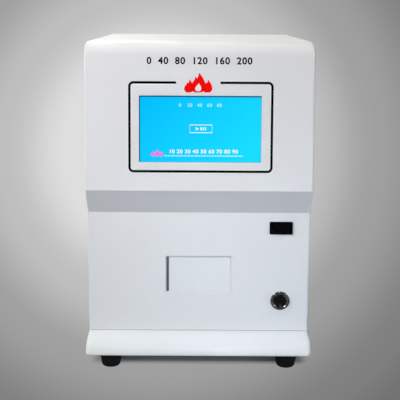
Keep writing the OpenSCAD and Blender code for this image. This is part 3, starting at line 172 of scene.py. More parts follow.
# Feet: turned rubber bumpers with a screw up their middle into the base's bosses. The rubber is
# dull and speckled, and the screws are plated steel.
foot_rubber = finish("foot_rubber", (0.004, 0.004, 0.0045), 0.75, grain=2200, relief=0.03, drift=0.2,
                     shine=0.12)
dress(foot_rubber, "foot_front_left", "foot_front_right", "foot_rear_left", "foot_rear_right", edge=0.4)
screw_steel = finish("screw_steel", (0.56, 0.57, 0.6), 0.3, grain=3000, relief=0.003, drift=0.06,
                     metal=1.0)
dress(screw_steel, "foot_screws", "display_screws", edge=0.15)

# Chassis plate and frame plates: zinc-coated sheet steel, cut, bent and screwed to the base's posts.
# The rails and brackets are the same steel, rolled, so their grain runs lengthwise.
sheet_steel = finish("sheet_steel", (0.6, 0.61, 0.63), 0.38, grain=160, relief=0.002, drift=0.09,
                     metal=1.0)
dress(sheet_steel, "chassis_plate", "slide_frame_left", "slide_frame_right", "oven_deck",
      "display_straps", "board_bracket", "lift_bracket")
rail_steel = finish("rail_steel", (0.66, 0.67, 0.69), 0.28, grain=1200, relief=0.002, drift=0.05,
                    metal=1.0, stretch=(1, 0.03, 1))
dress(rail_steel, "tray_rail_left", "tray_rail_right")

# Sample tray: a milled aluminium plate in the rails, its front plate moulded in the cabinet's white,
# and a rack in acetal under its edge. The mill's passes run across the plate.
tray_aluminium = finish("tray_aluminium", (0.74, 0.75, 0.77), 0.33, grain=1400, relief=0.003,
                        drift=0.05, metal=1.0, stretch=(0.04, 1, 1))
dress(tray_aluminium, "tray_plate", "nest_pins", "lift_rod", edge=0.3)
tray_white = finish("tray_white", (0.76, 0.78, 0.81), 0.42, grain=1300, relief=0.006, drift=0.012)
dress(tray_white, "tray_front", edge=0.3)
rack_plastic = finish("rack_plastic", (0.68, 0.6, 0.42), 0.45, grain=800, relief=0.004)
dress(rack_plastic, "tray_rack", edge=0.1)

# Cup and carrier: the cup is turned in nickel-plated brass with fine rings from the tool, and sits
# on a white fluoroplastic disc. A coated bar magnet stirs the sample.
cup_metal = finish("cup_metal", (0.7, 0.69, 0.66), 0.2, grain=2600, relief=0.002, drift=0.05,
                   metal=1.0, stretch=(0.1, 0.1, 1))
dress(cup_metal, "sample_cup", edge=0.2)
ptfe_white = finish("ptfe_white", (0.84, 0.83, 0.78), 0.55, grain=700, relief=0.006)
dress(ptfe_white, "cup_carrier", "stir_magnet", "electrode_sleeves", "oven_jacket", edge=0.2)

# Lift and tray drives: brass pinions on ground shafts, and two stepper motors, whose aluminium end
# caps hold a stack of black steel sheets.
gear_brass = finish("gear_brass", (0.78, 0.57, 0.25), 0.26, grain=1500, relief=0.002, drift=0.06,
                    metal=1.0)
dress(gear_brass, "lift_pinion", "tray_pinion", edge=0.08)
ground_steel = finish("ground_steel", (0.72, 0.73, 0.75), 0.16, grain=2600, relief=0.001, metal=1.0)
dress(ground_steel, "lift_shaft", "tray_shaft", edge=0.2)
motor_black = finish("motor_black", (0.03, 0.03, 0.033), 0.42, grain=1800, relief=0.01, drift=0.1)
dress(motor_black, "lift_motor", "tray_motor", edge=0.3)
dress(finish("guide_metal", (0.42, 0.43, 0.45), 0.4, grain=1100, relief=0.005, drift=0.06, metal=1.0),
      "lift_guide", edge=0.3)

# Oven: an aluminium block turned to fit the cup, with brass heater cartridges, spark electrodes and
# a thermocouple let into it.
oven_aluminium = finish("oven_aluminium", (0.7, 0.71, 0.72), 0.3, grain=1800, relief=0.003,
                        drift=0.08, metal=1.0, stretch=(0.1, 0.1, 1))
dress(oven_aluminium, "oven_block", edge=0.3)
dress(finish("heater_brass", (0.7, 0.5, 0.26), 0.34, grain=1500, relief=0.003, drift=0.12, metal=1.0),
      "heater_cartridges", edge=0.2)
dress(finish("probe_steel", (0.68, 0.68, 0.69), 0.22, grain=2400, relief=0.002, drift=0.06, metal=1.0),
      "electrodes", "thermocouple", edge=0.1)

# Electronics: the controller board stands on its bracket behind the serial port; supply, ignition
# module and air pump are screwed to the chassis plate.
dress(finish("board_green", (0.015, 0.16, 0.055), 0.34, grain=1600, relief=0.01, drift=0.12, coat=0.3),
      "controller_board", edge=0.15)
dress(finish("port_steel", (0.62, 0.63, 0.65), 0.24, grain=1700, relief=0.002, drift=0.05, metal=1.0),
      "serial_port", edge=0.2)
dress(finish("supply_metal", (0.58, 0.59, 0.6), 0.4, grain=180, relief=0.003, drift=0.1, metal=1.0),
      "power_supply", edge=0.4)
dress(finish("module_black", (0.022, 0.023, 0.026), 0.5, grain=900, relief=0.02, drift=0.12),
      "ignition_module", edge=0.5)
dress(finish("pump_grey", (0.08, 0.085, 0.095), 0.48, grain=1000, relief=0.015, drift=0.1),
      "air_pump", edge=0.4)

# Front moulding: one white satin moulding for the upper face, the slanted band and the lower face,
# with windows for the display, the tray, the rocker and the button.
moulded_white = finish("moulded_white", (0.76, 0.765, 0.785), 0.44, grain=1300, relief=0.006,
                       drift=0.012)
dress(moulded_white, "front_panel", edge=0.35)

LEAN = math.radians(3.65)
UPPER_Y, UPPER_Z = -171 * MM, 238 * MM
on_upper = Matrix(((1, 0, 0, 0),
                   (0, math.sin(LEAN), -math.cos(LEAN), UPPER_Y),
                   (0, math.cos(LEAN), math.sin(LEAN), UPPER_Z),
                   (0, 0, 0, 1)))


def add_object(name, data):
    """An object with this data, linked to the scene."""
    made = bpy.data.objects.new(name, data)
    bpy.context.scene.collection.objects.link(made)
    return made


def mesh_from(name, bm, material):
    """A mesh of one material, which uses up the shape that it is made from."""
    mesh = bpy.data.meshes.new(name)
    bm.to_mesh(mesh)
    bm.free()
    mesh.materials.append(material)
    return mesh


def piece(name, bm, material, body="root", place=None):
    """A piece from a mesh in millimetres, put in place on a body of the frame."""
    bmesh.ops.scale(bm, vec=(MM, MM, MM), verts=bm.verts)
    if place is not None:
        bmesh.ops.transform(bm, matrix=place, verts=bm.verts)
    bmesh.ops.recalc_face_normals(bm, faces=bm.faces)
    made = add_object(name, mesh_from(name, bm, material))
    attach(made, body)
    return made


def walls(bm, low, high):
    """Faces between two closed rings of points."""
    count = len(low)
    for i in range(count):
        j = (i + 1) % count
        bm.faces.new((low[i], low[j], high[j], high[i]))


def sheet_of(bm, outline, low, high):
    """A flat solid with this outline between two heights."""
    foot, top = ([bm.verts.new((x, y, h)) for x, y in outline] for h in (low, high))
    bm.faces.new(top)
    bm.faces.new(foot[::-1])
    walls(bm, foot, top)


def ribbon(bm, path, width, low, high, closed=False):
    """A flat strip of even width along a path."""
    left, right = [], []
    count = len(path)
    for i, (x, y) in enumerate(path):
        before = path[i - 1] if i or closed else path[i]
        after = path[(i + 1) % count] if i < count - 1 or closed else path[i]
        way = Vector((after[0] - before[0], after[1] - before[1])).normalized()
        left.append((x - way.y * width / 2, y + way.x * width / 2))
        right.append((x + way.y * width / 2, y - way.x * width / 2))
    rows = [[bm.verts.new((x, y, h)) for x, y in side] for side in (left, right) for h in (low, high)]
    for i in range(count if closed else count - 1):
        j = (i + 1) % count
        for a, b in ((0, 1), (1, 3), (3, 2), (2, 0)):
            bm.faces.new((rows[a][i], rows[a][j], rows[b][j], rows[b][i]))
    if not closed:
        for i in (0, count - 1):
            bm.faces.new([rows[a][i] for a in (0, 1, 3, 2)])


def corner(x, y, radius, start, turn=90, steps=6):
    """Points round a rounded corner."""
    angles = [math.radians(start + turn * i / steps) for i in range(steps + 1)]
    return [(x + radius * math.cos(a), y + radius * math.sin(a)) for a in angles]


# Joint: the moulding stands on the base's rim in a thin bead of grey silicone, which shows as one
# fine line across the front.
FACE_Y, RIM_Z, HALF_W = -149, 44.5, 145
SEAL_END, SEAL_IN, SEAL_DEEP, SEAL_HALF = 2.5, 0.3, 0.8, 0.45
seal_grey = finish("seal_grey", (0.09, 0.1, 0.12), 0.6, grain=1200, relief=0.01, drift=0.08)
seal = bmesh.new()
ribbon(seal, [(-HALF_W + SEAL_END, FACE_Y + SEAL_IN), (HALF_W - SEAL_END, FACE_Y + SEAL_IN)],
       SEAL_DEEP, RIM_Z - SEAL_HALF, RIM_Z + SEAL_HALF)
piece("base_seal", seal, seal_grey)

# Tray lip: a thin white lip round three edges of the tray's front closes the gap to the window, sloped
# at the right and below. A grey rubber strip set back at the left closes the wider gap there; its dark
# grey is painted shade, standing for the shadow of the window's left wall.
LIP_LEFT, LIP_RIGHT, LIP_LOW, LIP_HIGH = -42.45, 42.45, 97.65, 144.95
FRONT_LEFT, FRONT_RIGHT, FRONT_LOW, FRONT_HIGH = -39.15, 42.15, 97.95, 144.65
LIP_BACK, LIP_FACE, SHADE_STRIP_FACE = -143.6, -145.95, -144.9
SLOPE_FOOT, SLOPE_TOP, SLOPE_RUN = -145.9, -147, 1.1
upright = Matrix(((1, 0, 0, 0), (0, 0, 1, 0), (0, 1, 0, 0), (0, 0, 0, 1)))


def bar(bm, x0, y0, x1, y1, low, high):
    """A straight bar between two opposite corners and two heights."""
    sheet_of(bm, [(x0, y0), (x1, y0), (x1, y1), (x0, y1)], low, high)


lip = bmesh.new()
for sides in ((FRONT_RIGHT, LIP_LOW, LIP_RIGHT, LIP_HIGH),
              (FRONT_LEFT, LIP_LOW, FRONT_RIGHT, FRONT_LOW),
              (FRONT_LEFT, FRONT_HIGH, FRONT_RIGHT, LIP_HIGH)):
    bar(lip, *sides, LIP_FACE, LIP_BACK)
slopes = []
for x, y, left, up in ((FRONT_RIGHT, FRONT_HIGH, 1, 0), (FRONT_RIGHT, FRONT_LOW, 1, 1),
                       (FRONT_LEFT, FRONT_LOW, 0, 1)):
    foot = (x - SLOPE_RUN * left, y + SLOPE_RUN * up, SLOPE_FOOT)
    slopes.append([lip.verts.new(at) for at in ((x, y, SLOPE_TOP), foot, (x, y, SLOPE_FOOT))])
walls(lip, slopes[0], slopes[1])
walls(lip, slopes[1], slopes[2])
lip.faces.new(slopes[0])
lip.faces.new(slopes[2])
piece("tray_lip", lip, tray_white, body="tray", place=upright)
# The strip's dark grey is painted shade: it stands for the shadow that the window's left wall casts.
strip = bmesh.new()
bar(strip, LIP_LEFT, LIP_LOW, FRONT_LEFT, LIP_HIGH, SHADE_STRIP_FACE, LIP_BACK)
strip_painted_shade_grey = finish("strip_painted_shade_grey", (0.13, 0.15, 0.17), 0.6, grain=1300, relief=0.006, drift=0.03)
piece("tray_strip_painted_shade", strip, strip_painted_shade_grey, body="tray", place=upright)

# Printed line: a black rounded frame round the display, open at the top for the flames. It is screen
# printed on the moulding, so it stands off it by the thickness of the ink.
INK_LOW, INK_HIGH = -0.02, 0.06
LINE_LEFT, LINE_RIGHT, LINE_LOW, LINE_HIGH, LINE_ROUND = -88.1, 91.2, 24.9, 136.9, 5
LINE_END, LINE_START, LINE_WIDTH = 26, -29.5, 3.1
print_black = finish("print_black", (0.002, 0.002, 0.0025), 0.6, grain=2500, relief=0.004, drift=0.15,
                     shine=0.05)
line = bmesh.new()
ribbon(line, [(LINE_START, LINE_HIGH)]
       + corner(LINE_LEFT + LINE_ROUND, LINE_HIGH - LINE_ROUND, LINE_ROUND, 90)
       + corner(LINE_LEFT + LINE_ROUND, LINE_LOW + LINE_ROUND, LINE_ROUND, 180)
       + corner(LINE_RIGHT - LINE_ROUND, LINE_LOW + LINE_ROUND, LINE_ROUND, 270)
       + corner(LINE_RIGHT - LINE_ROUND, LINE_HIGH - LINE_ROUND, LINE_ROUND, 0)
       + [(LINE_END, LINE_HIGH)], LINE_WIDTH, INK_LOW, INK_HIGH)
piece("panel_line_print", line, print_black, place=on_upper)

# Printed scale: a row of plain numbers in the same black ink, screen printed on the moulding above
# the display.
SCALE_MIDDLES, SCALE_FOOT, SCALE_SIZE = (-63.4, -45.7, -24.6, 0, 28, 56), 160.1, 8.8
CAP_SHARE, LETTER_GAP = 0.73, 1.12


def add_numbers(bm, words, low, high, bold=0.02):
    """Numbers as flat solids: each word is its text, middle, foot height and size."""
    for text, x, y, size in words:
        letters = bpy.data.curves.new("numbers", "FONT")
        letters.body = text
        letters.size = size / CAP_SHARE
        letters.align_x = "CENTER"
        letters.space_character = LETTER_GAP
        letters.offset = bold * size
        letters.resolution_u = 4
        letters.extrude = (high - low) / 2
        holder = add_object("numbers", letters)
        bpy.context.view_layer.update()
        mesh = bpy.data.meshes.new_from_object(holder)
        mesh.transform(Matrix.Translation((x, y, (high + low) / 2)))
        bm.from_mesh(mesh)
        bpy.data.objects.remove(holder)
        bpy.data.meshes.remove(mesh)


scale = bmesh.new()
add_numbers(scale, [(str(40 * i), x, SCALE_FOOT, SCALE_SIZE) for i, x in enumerate(SCALE_MIDDLES)],
            INK_LOW, INK_HIGH, 0.04)
piece("panel_scale_print", scale, print_black, place=on_upper)

# Printed flames: a plain red flame with a pale heart between two small ones, where the line is open.
# The ink is opaque, laid over the white.
flame_red = finish("flame_red", (0.97, 0.002, 0.001), 0.5, grain=2500, relief=0.004, drift=0.01,
                   shine=0.05)
FLAME = [(0, 0), (-5.2, 0.6), (-8.6, 4.4), (-8.9, 9.2), (-6.6, 13.4), (-4.4, 16.2), (-3.9, 19.6),
         (-1.6, 17.8), (0.4, 21), (0.8, 24.6), (4.2, 20.6), (7.2, 15.6), (8.9, 10.4), (8.8, 5.2),
         (5.6, 1)]
FLAMES_FOOT, HEART_FOOT, FLAMES_MIDDLE = 124.6, 126.2, -1.8


def flame(bm, x, y, size, low, high):
    """The flame's outline, smoothed through its corners, with its foot at x, y."""
    points = []
    count = len(FLAME)
    for i in range(count):
        a, b, c, d = (Vector(FLAME[(i + k) % count]) for k in (-1, 0, 1, 2))
        for t in (0, 0.25, 0.5, 0.75):
            spot = 0.5 * (2 * b + t * (c - a) + t * t * (2 * a - 5 * b + 4 * c - d)
                          + t ** 3 * (3 * b - a - 3 * c + d))
            points.append((x + size * spot.x, y + size * spot.y))
    sheet_of(bm, points, low, high)


mark = bmesh.new()
for x, size in ((-13.4, 0.66), (FLAMES_MIDDLE, 1.0), (9.8, 0.66)):
    flame(mark, x, FLAMES_FOOT, size, INK_LOW, INK_HIGH)
piece("panel_flame_print", mark, flame_red, place=on_upper)
heart = bmesh.new()
flame(heart, FLAMES_MIDDLE, HEART_FOOT, 0.42, INK_HIGH - 0.01, INK_HIGH + 0.03)
piece("panel_flame_heart", heart, moulded_white, place=on_upper)

# Display: touch glass set back in the window, lit from behind. The blue is brighter towards the
# right and the bottom. A thin blue-black gasket closes the gap round the glass; its wide bars at the
# top and the left are painted shade of the window's edge.
glass, glass_tree, glass_shader = new_paint("display_glass")
put(glass_shader, {"Base Color": (0.0, 0.012, 0.02, 1), "Roughness": 0.14,
                   "Specular IOR Level": 0.1, "Emission Strength": 1.0})
place = glass_tree.nodes.new("ShaderNodeTexCoord")
slope = maths(glass_tree, "VectorMath", "DOT_PRODUCT", (4.4, 0, -4.6))
shift = maths(glass_tree, "Math", "ADD", 1.94)
pixels = noise(glass_tree, 320.0)
blend = maths(glass_tree, "Math", "MULTIPLY_ADD", 0.16)
lit = glass_tree.nodes.new("ShaderNodeValToRGB")
lit.color_ramp.elements[0].color = (0.0, 0.49, 1.0, 1)
lit.color_ramp.elements[1].color = (0.009, 0.72, 1.0, 1)
wire(glass_tree,
     (place.outputs["Object"], slope.inputs[0]),
     (slope.outputs["Value"], shift.inputs[0]),
     (place.outputs["Object"], pixels.inputs["Vector"]),
     (pixels.outputs["Fac"], blend.inputs[0]),
     (shift.outputs[0], blend.inputs[2]),
     (blend.outputs[0], lit.inputs["Fac"]),
     (lit.outputs["Color"], glass_shader.inputs["Emission Color"]))
dress(glass, "display_glass", edge=0.1)
dress(finish("display_metal", (0.5, 0.51, 0.53), 0.36, grain=300, relief=0.003, drift=0.08, metal=1.0),
      "lcd_module", edge=0.3)

SCREEN = -0.9
SHADE_GASKET_LOW, SHADE_GASKET_HIGH = SCREEN - 0.3, SCREEN + 0.12
gasket_painted_shade_blue = finish("gasket_painted_shade_blue", (0.003, 0.01, 0.09), 0.5, grain=2000, relief=0.004, drift=0.15,
                     shine=0.15)
# The gasket is wider at the top and the left: there its blue-black is painted shade of the window's
# edge.
gasket = bmesh.new()
for sides in ((-76, 118.9, 78, 120.3), (-76, 36.5, -74.8, 118.9), (77.6, 36.5, 78, 118.9),
              (-75, 36.5, 77.7, 36.8)):
    bar(gasket, *sides, SHADE_GASKET_LOW, SHADE_GASKET_HIGH)
piece("display_gasket_painted_shade", gasket, gasket_painted_shade_blue, place=on_upper)

# Screen: plain marks that light up on the blue: numbers, a key with an arrow, a scale and flames.
# On the real panel they are lit pixels, and here thin films just in front of the glass.


def lamp_glow(name, tone):
    """The light of the panel's pixels through the glass."""
    made, tree, shader = new_paint(name)
    put(shader, {"Base Color": (0, 0, 0, 1), "Roughness": 0.3,
                 "Specular IOR Level": 0.1, "Emission Strength": 1.0})
    grain = noise(tree, 900.0)
    ramp = tree.nodes.new("ShaderNodeValToRGB")
    ramp.color_ramp.elements[0].color = [c * 0.9 for c in tone] + [1]
    ramp.color_ramp.elements[1].color = list(tone) + [1]
    wire(tree,
         (grain.outputs["Fac"], ramp.inputs["Fac"]),
         (ramp.outputs["Color"], shader.inputs["Emission Color"]))
    return made


GLOW_LOW, GLOW_HIGH = SCREEN - 0.02, SCREEN + 0.04
KEY_LEFT, KEY_RIGHT, KEY_LOW, KEY_HIGH, KEY_LINE = -12.2, 16, 74.1, 83.9, 0.9
TICK_LEFT, TICK_STEP, TICK_FOOT, TICK_TOP = -43.4, 1.98, 44, 45.2
white_glow = lamp_glow("screen_white", (0.95, 1.0, 1.0))
pale_glow = lamp_glow("screen_pale", (0.5, 0.93, 1.0))
pink_glow = lamp_glow("screen_pink", (0.9, 0.2, 0.75))
title = bmesh.new()
add_numbers(title, [(str(20 * i), -24.6 + 12.4 * i, 106.8, 4.3) for i in range(5)], GLOW_LOW, GLOW_HIGH)
piece("screen_title", title, pale_glow, place=on_upper)
key = bmesh.new()
ribbon(key, [(KEY_LEFT, KEY_LOW), (KEY_RIGHT, KEY_LOW), (KEY_RIGHT, KEY_HIGH), (KEY_LEFT, KEY_HIGH)],
       KEY_LINE, GLOW_LOW, GLOW_HIGH, closed=True)
sheet_of(key, [(-4.5, 76.8), (-0.7, 79), (-4.5, 81.2)], GLOW_LOW, GLOW_HIGH)
for x in (1.2, 4, 6.8):
    bar(key, x, 77.2, x + 1.6, 80.8, GLOW_LOW, GLOW_HIGH)
piece("screen_key", key, white_glow, place=on_upper)
rows = bmesh.new()
add_numbers(rows, [(str(10 * (i + 1)), -34.8 + 10 * i, 48, 5) for i in range(9)],
            GLOW_LOW, GLOW_HIGH, 0.03)
for i in range(50):
    bar(rows, TICK_LEFT + TICK_STEP * i, TICK_FOOT,
        TICK_LEFT + 1 + TICK_STEP * i, TICK_TOP + 0.6 * (i % 5 == 0), GLOW_LOW, GLOW_HIGH)
piece("screen_rows", rows, white_glow, place=on_upper)
flames = bmesh.new()
for i, size in enumerate((0.26, 0.36, 0.26)):
    flame(flames, -58.8 + 5.4 * i, 43.8, size, GLOW_LOW, GLOW_HIGH)
piece("screen_flames", flames, pink_glow, place=on_upper)

# Power rocker: glossy black nylon, snapped into its window, with the paddle on a pin in the housing.
# Its black is deep and takes almost no light.
switch_black = finish("switch_black", (0.001, 0.001, 0.002), 0.32, grain=1800, relief=0.004,
                      drift=0.2, shine=0.05)
dress(switch_black, "rocker_housing", "rocker_paddle", edge=0.35)

# Start button: a bezel in black chrome with a black cap, on a threaded barrel that is held from
# behind by its nut.
bezel_chrome = finish("bezel_chrome", (0.25, 0.25, 0.26), 0.05, grain=2600, relief=0.0006,
                      drift=0.04, metal=1.0, coat=0.5, span=0.03)
dress(bezel_chrome, "button_bezel", edge=0.2)
button_black = finish("button_black", (0.003, 0.002, 0.002), 0.14, grain=1500, relief=0.002,
                      drift=0.2, shine=0.3)
dress(button_black, "button_cap", edge=0.2)
dress(finish("nut_steel", (0.6, 0.61, 0.63), 0.3, grain=1500, relief=0.003, drift=0.06, metal=1.0),
      "button_nut", edge=0.3)

# Rear panel and fan: powder-coated sheet with side flanges, which the cover's high screws hold. The
# fan is screwed on behind it, and its guard outside.
rear_grey = finish("rear_grey", (0.74, 0.745, 0.75), 0.5, grain=850, relief=0.022, drift=0.015)
dress(rear_grey, "rear_panel", edge=0.3)
dress(finish("fan_black", (0.014, 0.014, 0.016), 0.42, grain=1400, relief=0.008, drift=0.15),
      "fan_frame", "fan_impeller", edge=0.3)
dress(finish("guard_steel", (0.66, 0.67, 0.69), 0.24, grain=1400, relief=0.002, drift=0.05, metal=1.0),
      "fan_guard", edge=0.3)
dress(finish("inlet_black", (0.012, 0.012, 0.013), 0.4, grain=1600, relief=0.006, drift=0.15),
      "mains_inlet", edge=0.25)

# Contacts: three nickel-plated blades in the inlet's socket. The port has a black insert with nine
# gilt contacts, and a steel hexagon post on either side for the plug's screws.
BLADE_HALF_W, BLADE_HALF_H, BLADE_ROOT, BLADE_TIP = 1.05, 2.05, 156, 168.08
contact_nickel = finish("contact_nickel", (0.7, 0.67, 0.6), 0.22, grain=2400, relief=0.002,
                        drift=0.05, metal=1.0)
blades = bmesh.new()
for x, z in ((-99, 110.5), (-85, 110.5), (-92, 114.5)):
    bar(blades, x - BLADE_HALF_W, z - BLADE_HALF_H, x + BLADE_HALF_W, z + BLADE_HALF_H,
        BLADE_ROOT, BLADE_TIP)
piece("inlet_blades", blades, contact_nickel, place=upright)
PORT_X, PORT_Z, PORT_Y = 92, 250, 172.6
PIN_STEP, PIN_ROW, PIN_R = 2.77, 1.42, 0.55
POST_OUT, POST_R, POST_BORE = 12.5, 2.6, 1.2
insert = bmesh.new()
outline = [(PORT_X + v, PORT_Z - u) for u, v in ((-7, -3), (7, -3), (7.7, 3), (-7.7, 3))]
sheet_of(insert, outline, PORT_Y - 0.1, PORT_Y + 0.1)
piece("port_insert", insert, motor_black, place=upright)
gilt = finish("gilt", (0.83, 0.62, 0.28), 0.25, grain=2400, relief=0.002, drift=0.05, metal=1.0)
contacts = bmesh.new()
for row, count in ((PIN_ROW, 5), (-PIN_ROW, 4)):
    for i in range(count):
        pin_z = PORT_Z - PIN_STEP * (i - (count - 1) / 2)
        sheet_of(contacts, corner(PORT_X + row, pin_z, PIN_R, 0, 330, 11), PORT_Y + 0.08, PORT_Y + 0.16)
piece("port_contacts", contacts, gilt, place=upright)
posts = bmesh.new()
for z in (PORT_Z - POST_OUT, PORT_Z + POST_OUT):
    sheet_of(posts, corner(PORT_X, z, POST_R, 30, 300, 5), 170, 173)
    sheet_of(posts, corner(PORT_X, z, POST_BORE, 0, 330, 11), 172.9, 173.1)
piece("port_posts", posts, screw_steel, place=upright)

# Cover: sheet steel folded over the cabinet and powder-coated white, with the fine orange peel that
# the coat leaves. Ten plated screws hold it at the sides.
cover_white = finish("cover_white", (0.87, 0.87, 0.855), 0.46, grain=800, relief=0.02, drift=0.012)
dress(cover_white, "top_cover", edge=0.2)
SCREW_SIDES = 24
SCREW_PROFILE = ((1.5, -4.3), (1.5, 0), (3.4, 0), (3.4, 0.4), (3.15, 0.95), (2.6, 1.35), (2, 1.5))
CROSS = [(0.35, 0.35), (0.35, 1.4), (-0.35, 1.4), (-0.35, 0.35), (-1.4, 0.35), (-1.4, -0.35),
         (-0.35, -0.35), (-0.35, -1.4), (0.35, -1.4), (0.35, -0.35), (1.4, -0.35), (1.4, 0.35)]
CROSS_TOP, CROSS_FLOOR = 1.5, 0.6


def cross_screw(bm, side, y, z):
    """A pan head with a cross recess on one side of the cabinet, and its shank."""
    turns = [math.tau * i / SCREW_SIDES for i in range(SCREW_SIDES)]
    rounds = [[bm.verts.new((side * (HALF_W + h), y + r * math.cos(a), z + r * math.sin(a)))
               for a in turns] for r, h in SCREW_PROFILE]
    for low, high in zip(rounds, rounds[1:]):
        walls(bm, low, high)
    bm.faces.new(rounds[0])
    mouth, recess = ([bm.verts.new((side * (HALF_W + h), y + a, z + b)) for a, b in CROSS]
                     for h in (CROSS_TOP, CROSS_FLOOR))
    walls(bm, mouth, recess)
    bm.faces.new(recess)
    rim = [bm.edges.get((ring[i], ring[(i + 1) % len(ring)]))
           for ring in (rounds[-1], mouth) for i in range(len(ring))]
    bmesh.ops.bridge_loops(bm, edges=rim)


screws = bmesh.new()
for side in (-1, 1):
    for y, z in ((-117, 51), (20, 51), (142, 51), (162.5, 174.5), (162.5, 375.5)):
        cross_screw(screws, side, y, z)
heads = piece("cover_screw_heads", screws, screw_steel)
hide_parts("cover_screws")

# Studio: a pale floor that rises into a wall all round. Both take their grey from one soft pool of
# light behind the cabinet, painted in the room and not on the cabinet. The floor keeps the shadow.
EYE = Vector((0.0009, -1.2543, 0.4647))
POOL = Vector((-0.046, 1.0, -0.161)).normalized()
FOOTPRINT, SHADOW_EDGE = (0.13, 0.14, 9), 0.02
TONES = ((0, 0.80), (6, 0.735), (10, 0.52), (14, 0.35), (19, 0.215), (22, 0.165), (27, 0.25),
         (36, 0.5), (50, 0.52), (90, 0.4), (130, 0.1), (180, 0.06))
FLOOR_R, WALL_BEND, WALL_TOP = 2.6, 1.2, 4.5


def room_tone(tree):
    """The grey of the room at each spot, by its angle off the middle of the pool of light."""
    spot = tree.nodes.new("ShaderNodeNewGeometry")
    away = maths(tree, "VectorMath", "SUBTRACT", EYE)
    unit = maths(tree, "VectorMath", "NORMALIZE")
    facing = maths(tree, "VectorMath", "DOT_PRODUCT", POOL)
    angle = maths(tree, "Math", "ARCCOSINE")
    share = maths(tree, "Math", "DIVIDE", math.radians(TONES[-1][0]))
    ramp = tree.nodes.new("ShaderNodeValToRGB")
    ramp.color_ramp.interpolation = "EASE"
    while len(ramp.color_ramp.elements) < len(TONES):
        ramp.color_ramp.elements.new(0.5)
    for stop, (degrees, tone) in zip(ramp.color_ramp.elements, TONES):
        stop.position = degrees / TONES[-1][0]
        stop.color = (tone, tone, tone, 1)
    wire(tree,
         (spot.outputs["Position"], away.inputs[0]),
         (away.outputs["Vector"], unit.inputs[0]),
         (unit.outputs["Vector"], facing.inputs[0]),
         (facing.outputs["Value"], angle.inputs[0]),
         (angle.outputs[0], share.inputs[0]),
         (share.outputs[0], ramp.inputs["Fac"]))
    return spot, ramp.outputs["Color"]


def room_paint(name):
    """Matt paint that takes the lamps under the cabinet and gives its own grey further off."""
    made, tree = new_paint(name)[:2]
    tree.nodes.clear()
    spot, tone = room_tone(tree)
    matt = tree.nodes.new("ShaderNodeBsdfDiffuse")
    own = tree.nodes.new("ShaderNodeEmission")
    folded = maths(tree, "VectorMath", "ABSOLUTE")
    past = maths(tree, "VectorMath", "SUBTRACT", FOOTPRINT)
    outside = maths(tree, "VectorMath", "MAXIMUM", (0, 0, 0))
    reach = maths(tree, "VectorMath", "LENGTH")
    share = tree.nodes.new("ShaderNodeMapRange")
    share.interpolation_type = "SMOOTHSTEP"
    put(share, {"From Min": 0, "From Max": SHADOW_EDGE, "To Min": 0.03})
    mixed = tree.nodes.new("ShaderNodeMixShader")
    out = tree.nodes.new("ShaderNodeOutputMaterial")
    wire(tree,
         (tone, matt.inputs["Color"]),
         (tone, own.inputs["Color"]),
         (spot.outputs["Position"], folded.inputs[0]),
         (folded.outputs["Vector"], past.inputs[0]),
         (past.outputs["Vector"], outside.inputs[0]),
         (outside.outputs["Vector"], reach.inputs[0]),
         (reach.outputs["Value"], share.inputs["Value"]),
         (share.outputs["Result"], mixed.inputs["Fac"]),
         (matt.outputs["BSDF"], mixed.inputs[1]),
         (own.outputs["Emission"], mixed.inputs[2]),
         (mixed.outputs["Shader"], out.inputs["Surface"]))
    return made


def turned(name, profile, material, filled, steps=96):
    """A surface turned about the room's middle from points of radius and height."""
    bm = bmesh.new()
    turns = [math.tau * i / steps for i in range(steps)]
    rings = [[bm.verts.new((r * math.cos(a), r * math.sin(a), z)) for a in turns] for r, z in profile]
    for low, high in zip(rings, rings[1:]):
        walls(bm, high, low)
    if filled:
        bm.faces.new(rings[0])
    made = add_object(name, mesh_from(name, bm, material))
    for face in made.data.polygons:
        face.use_smooth = True
    return made


bend = [(FLOOR_R + WALL_BEND * math.sin(a), WALL_BEND - WALL_BEND * math.cos(a))
        for a in [math.radians(10 * i) for i in range(1, 10)]]
floor = turned("floor", [(0.4, 0), (1, 0), (1.8, 0), (FLOOR_R, 0)], room_paint("floor_paint"), True)
wall = turned("wall", [(FLOOR_R, 0)] + bend + [(FLOOR_R + WALL_BEND, WALL_TOP)],
              room_paint("wall_paint"), False)
wall.visible_diffuse = False
wall.visible_shadow = False

world = bpy.data.worlds.new("studio")
world.use_nodes = True
put(world.node_tree.nodes["Background"], {"Color": (1.0, 0.93, 0.85, 1), "Strength": 0.08})
bpy.context.scene.world = world


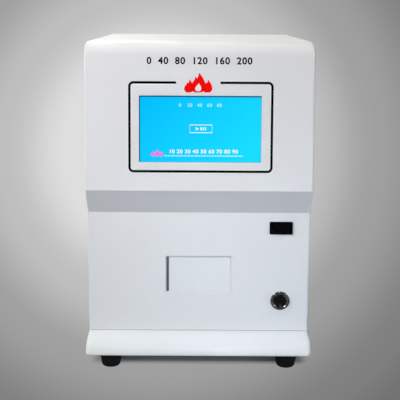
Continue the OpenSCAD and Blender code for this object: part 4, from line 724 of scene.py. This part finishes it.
def lamp(name, at, aim, size, watts, tone):
    """A square lamp of this size that looks at a point."""
    light = bpy.data.lights.new(name, "AREA")
    light.shape = "RECTANGLE"
    light.size = size
    light.size_y = size
    light.energy = watts
    light.color = tone
    made = add_object(name, light)
    made.location = at
    made.rotation_mode = "QUATERNION"
    made.rotation_quaternion = (Vector(aim) - Vector(at)).to_track_quat("-Z", "Y")
    return made


lamp("key_left", (-1.7, -1.3, 1.7), (0, -0.15, 0.3), 0.4, 29, (1.0, 0.97, 0.9))
lamp("key_front", (-1.5, -1.7, 1.3), (0, -0.15, 0.3), 0.4, 12.6, (0.96, 1.0, 0.98))
lamp("right", (1.7, -1.5, 0.9), (0, -0.15, 0.25), 0.3, 11.2, (1.0, 0.96, 0.94))
lamp("top", (-0.35, 0.25, 1.9), (0, 0, 0.4), 1.4, 10.3, (1.0, 0.99, 0.96))
lamp("back", (-0.4, 1.3, 1.5), (0, 0, 0.42), 0.5, 8.3, (0.98, 0.98, 1.0))
for name, at, aim, watts, tone, spread in (
        ("glance_high", (-0.9, -1.6, 1.1), (-0.09, -0.16, 0.38), 0.098, (0.95, 0.92, 1.0), 0.35),
        ("glance_low", (0.1, -1.9, 0.6), (0.03, -0.15, 0.13), 0.048, (0.86, 0.94, 1.0), 0.25),
        ("glance_base", (0.9, -0.9, 0.12), (0.1, -0.17, 0.03), 0.29, (0.4, 0.7, 1.0), 1.0)):
    lamp(name, at, aim, 0.2, watts, tone).data.spread = spread

# Camera: a long lens at the photograph's place, 1.25 m in front and looking 9.6 degrees down, with
# the slight roll that the photograph has.
SENSOR, LENS_PIXELS, PICTURE_PIXELS = 36, 872.5, 400
camera = bpy.data.cameras.new("camera")
camera.sensor_width = SENSOR
camera.lens = SENSOR * LENS_PIXELS / PICTURE_PIXELS
camera.shift_y = -0.1069
eye = add_object("camera", camera)
pitch, roll = math.radians(9.6), math.radians(0.3)
across = Vector((1, 0, 0))
upward = Vector((0, math.sin(pitch), math.cos(pitch)))
turned_across = across * math.cos(roll) + upward * math.sin(roll)
turned_up = upward * math.cos(roll) - across * math.sin(roll)
toward = turned_across.cross(turned_up)
facing = Matrix((turned_across, turned_up, toward)).transposed().to_4x4()
eye.matrix_world = Matrix.Translation(EYE) @ facing
bpy.context.scene.camera = eye
bpy.context.scene.view_settings.view_transform = "Standard"
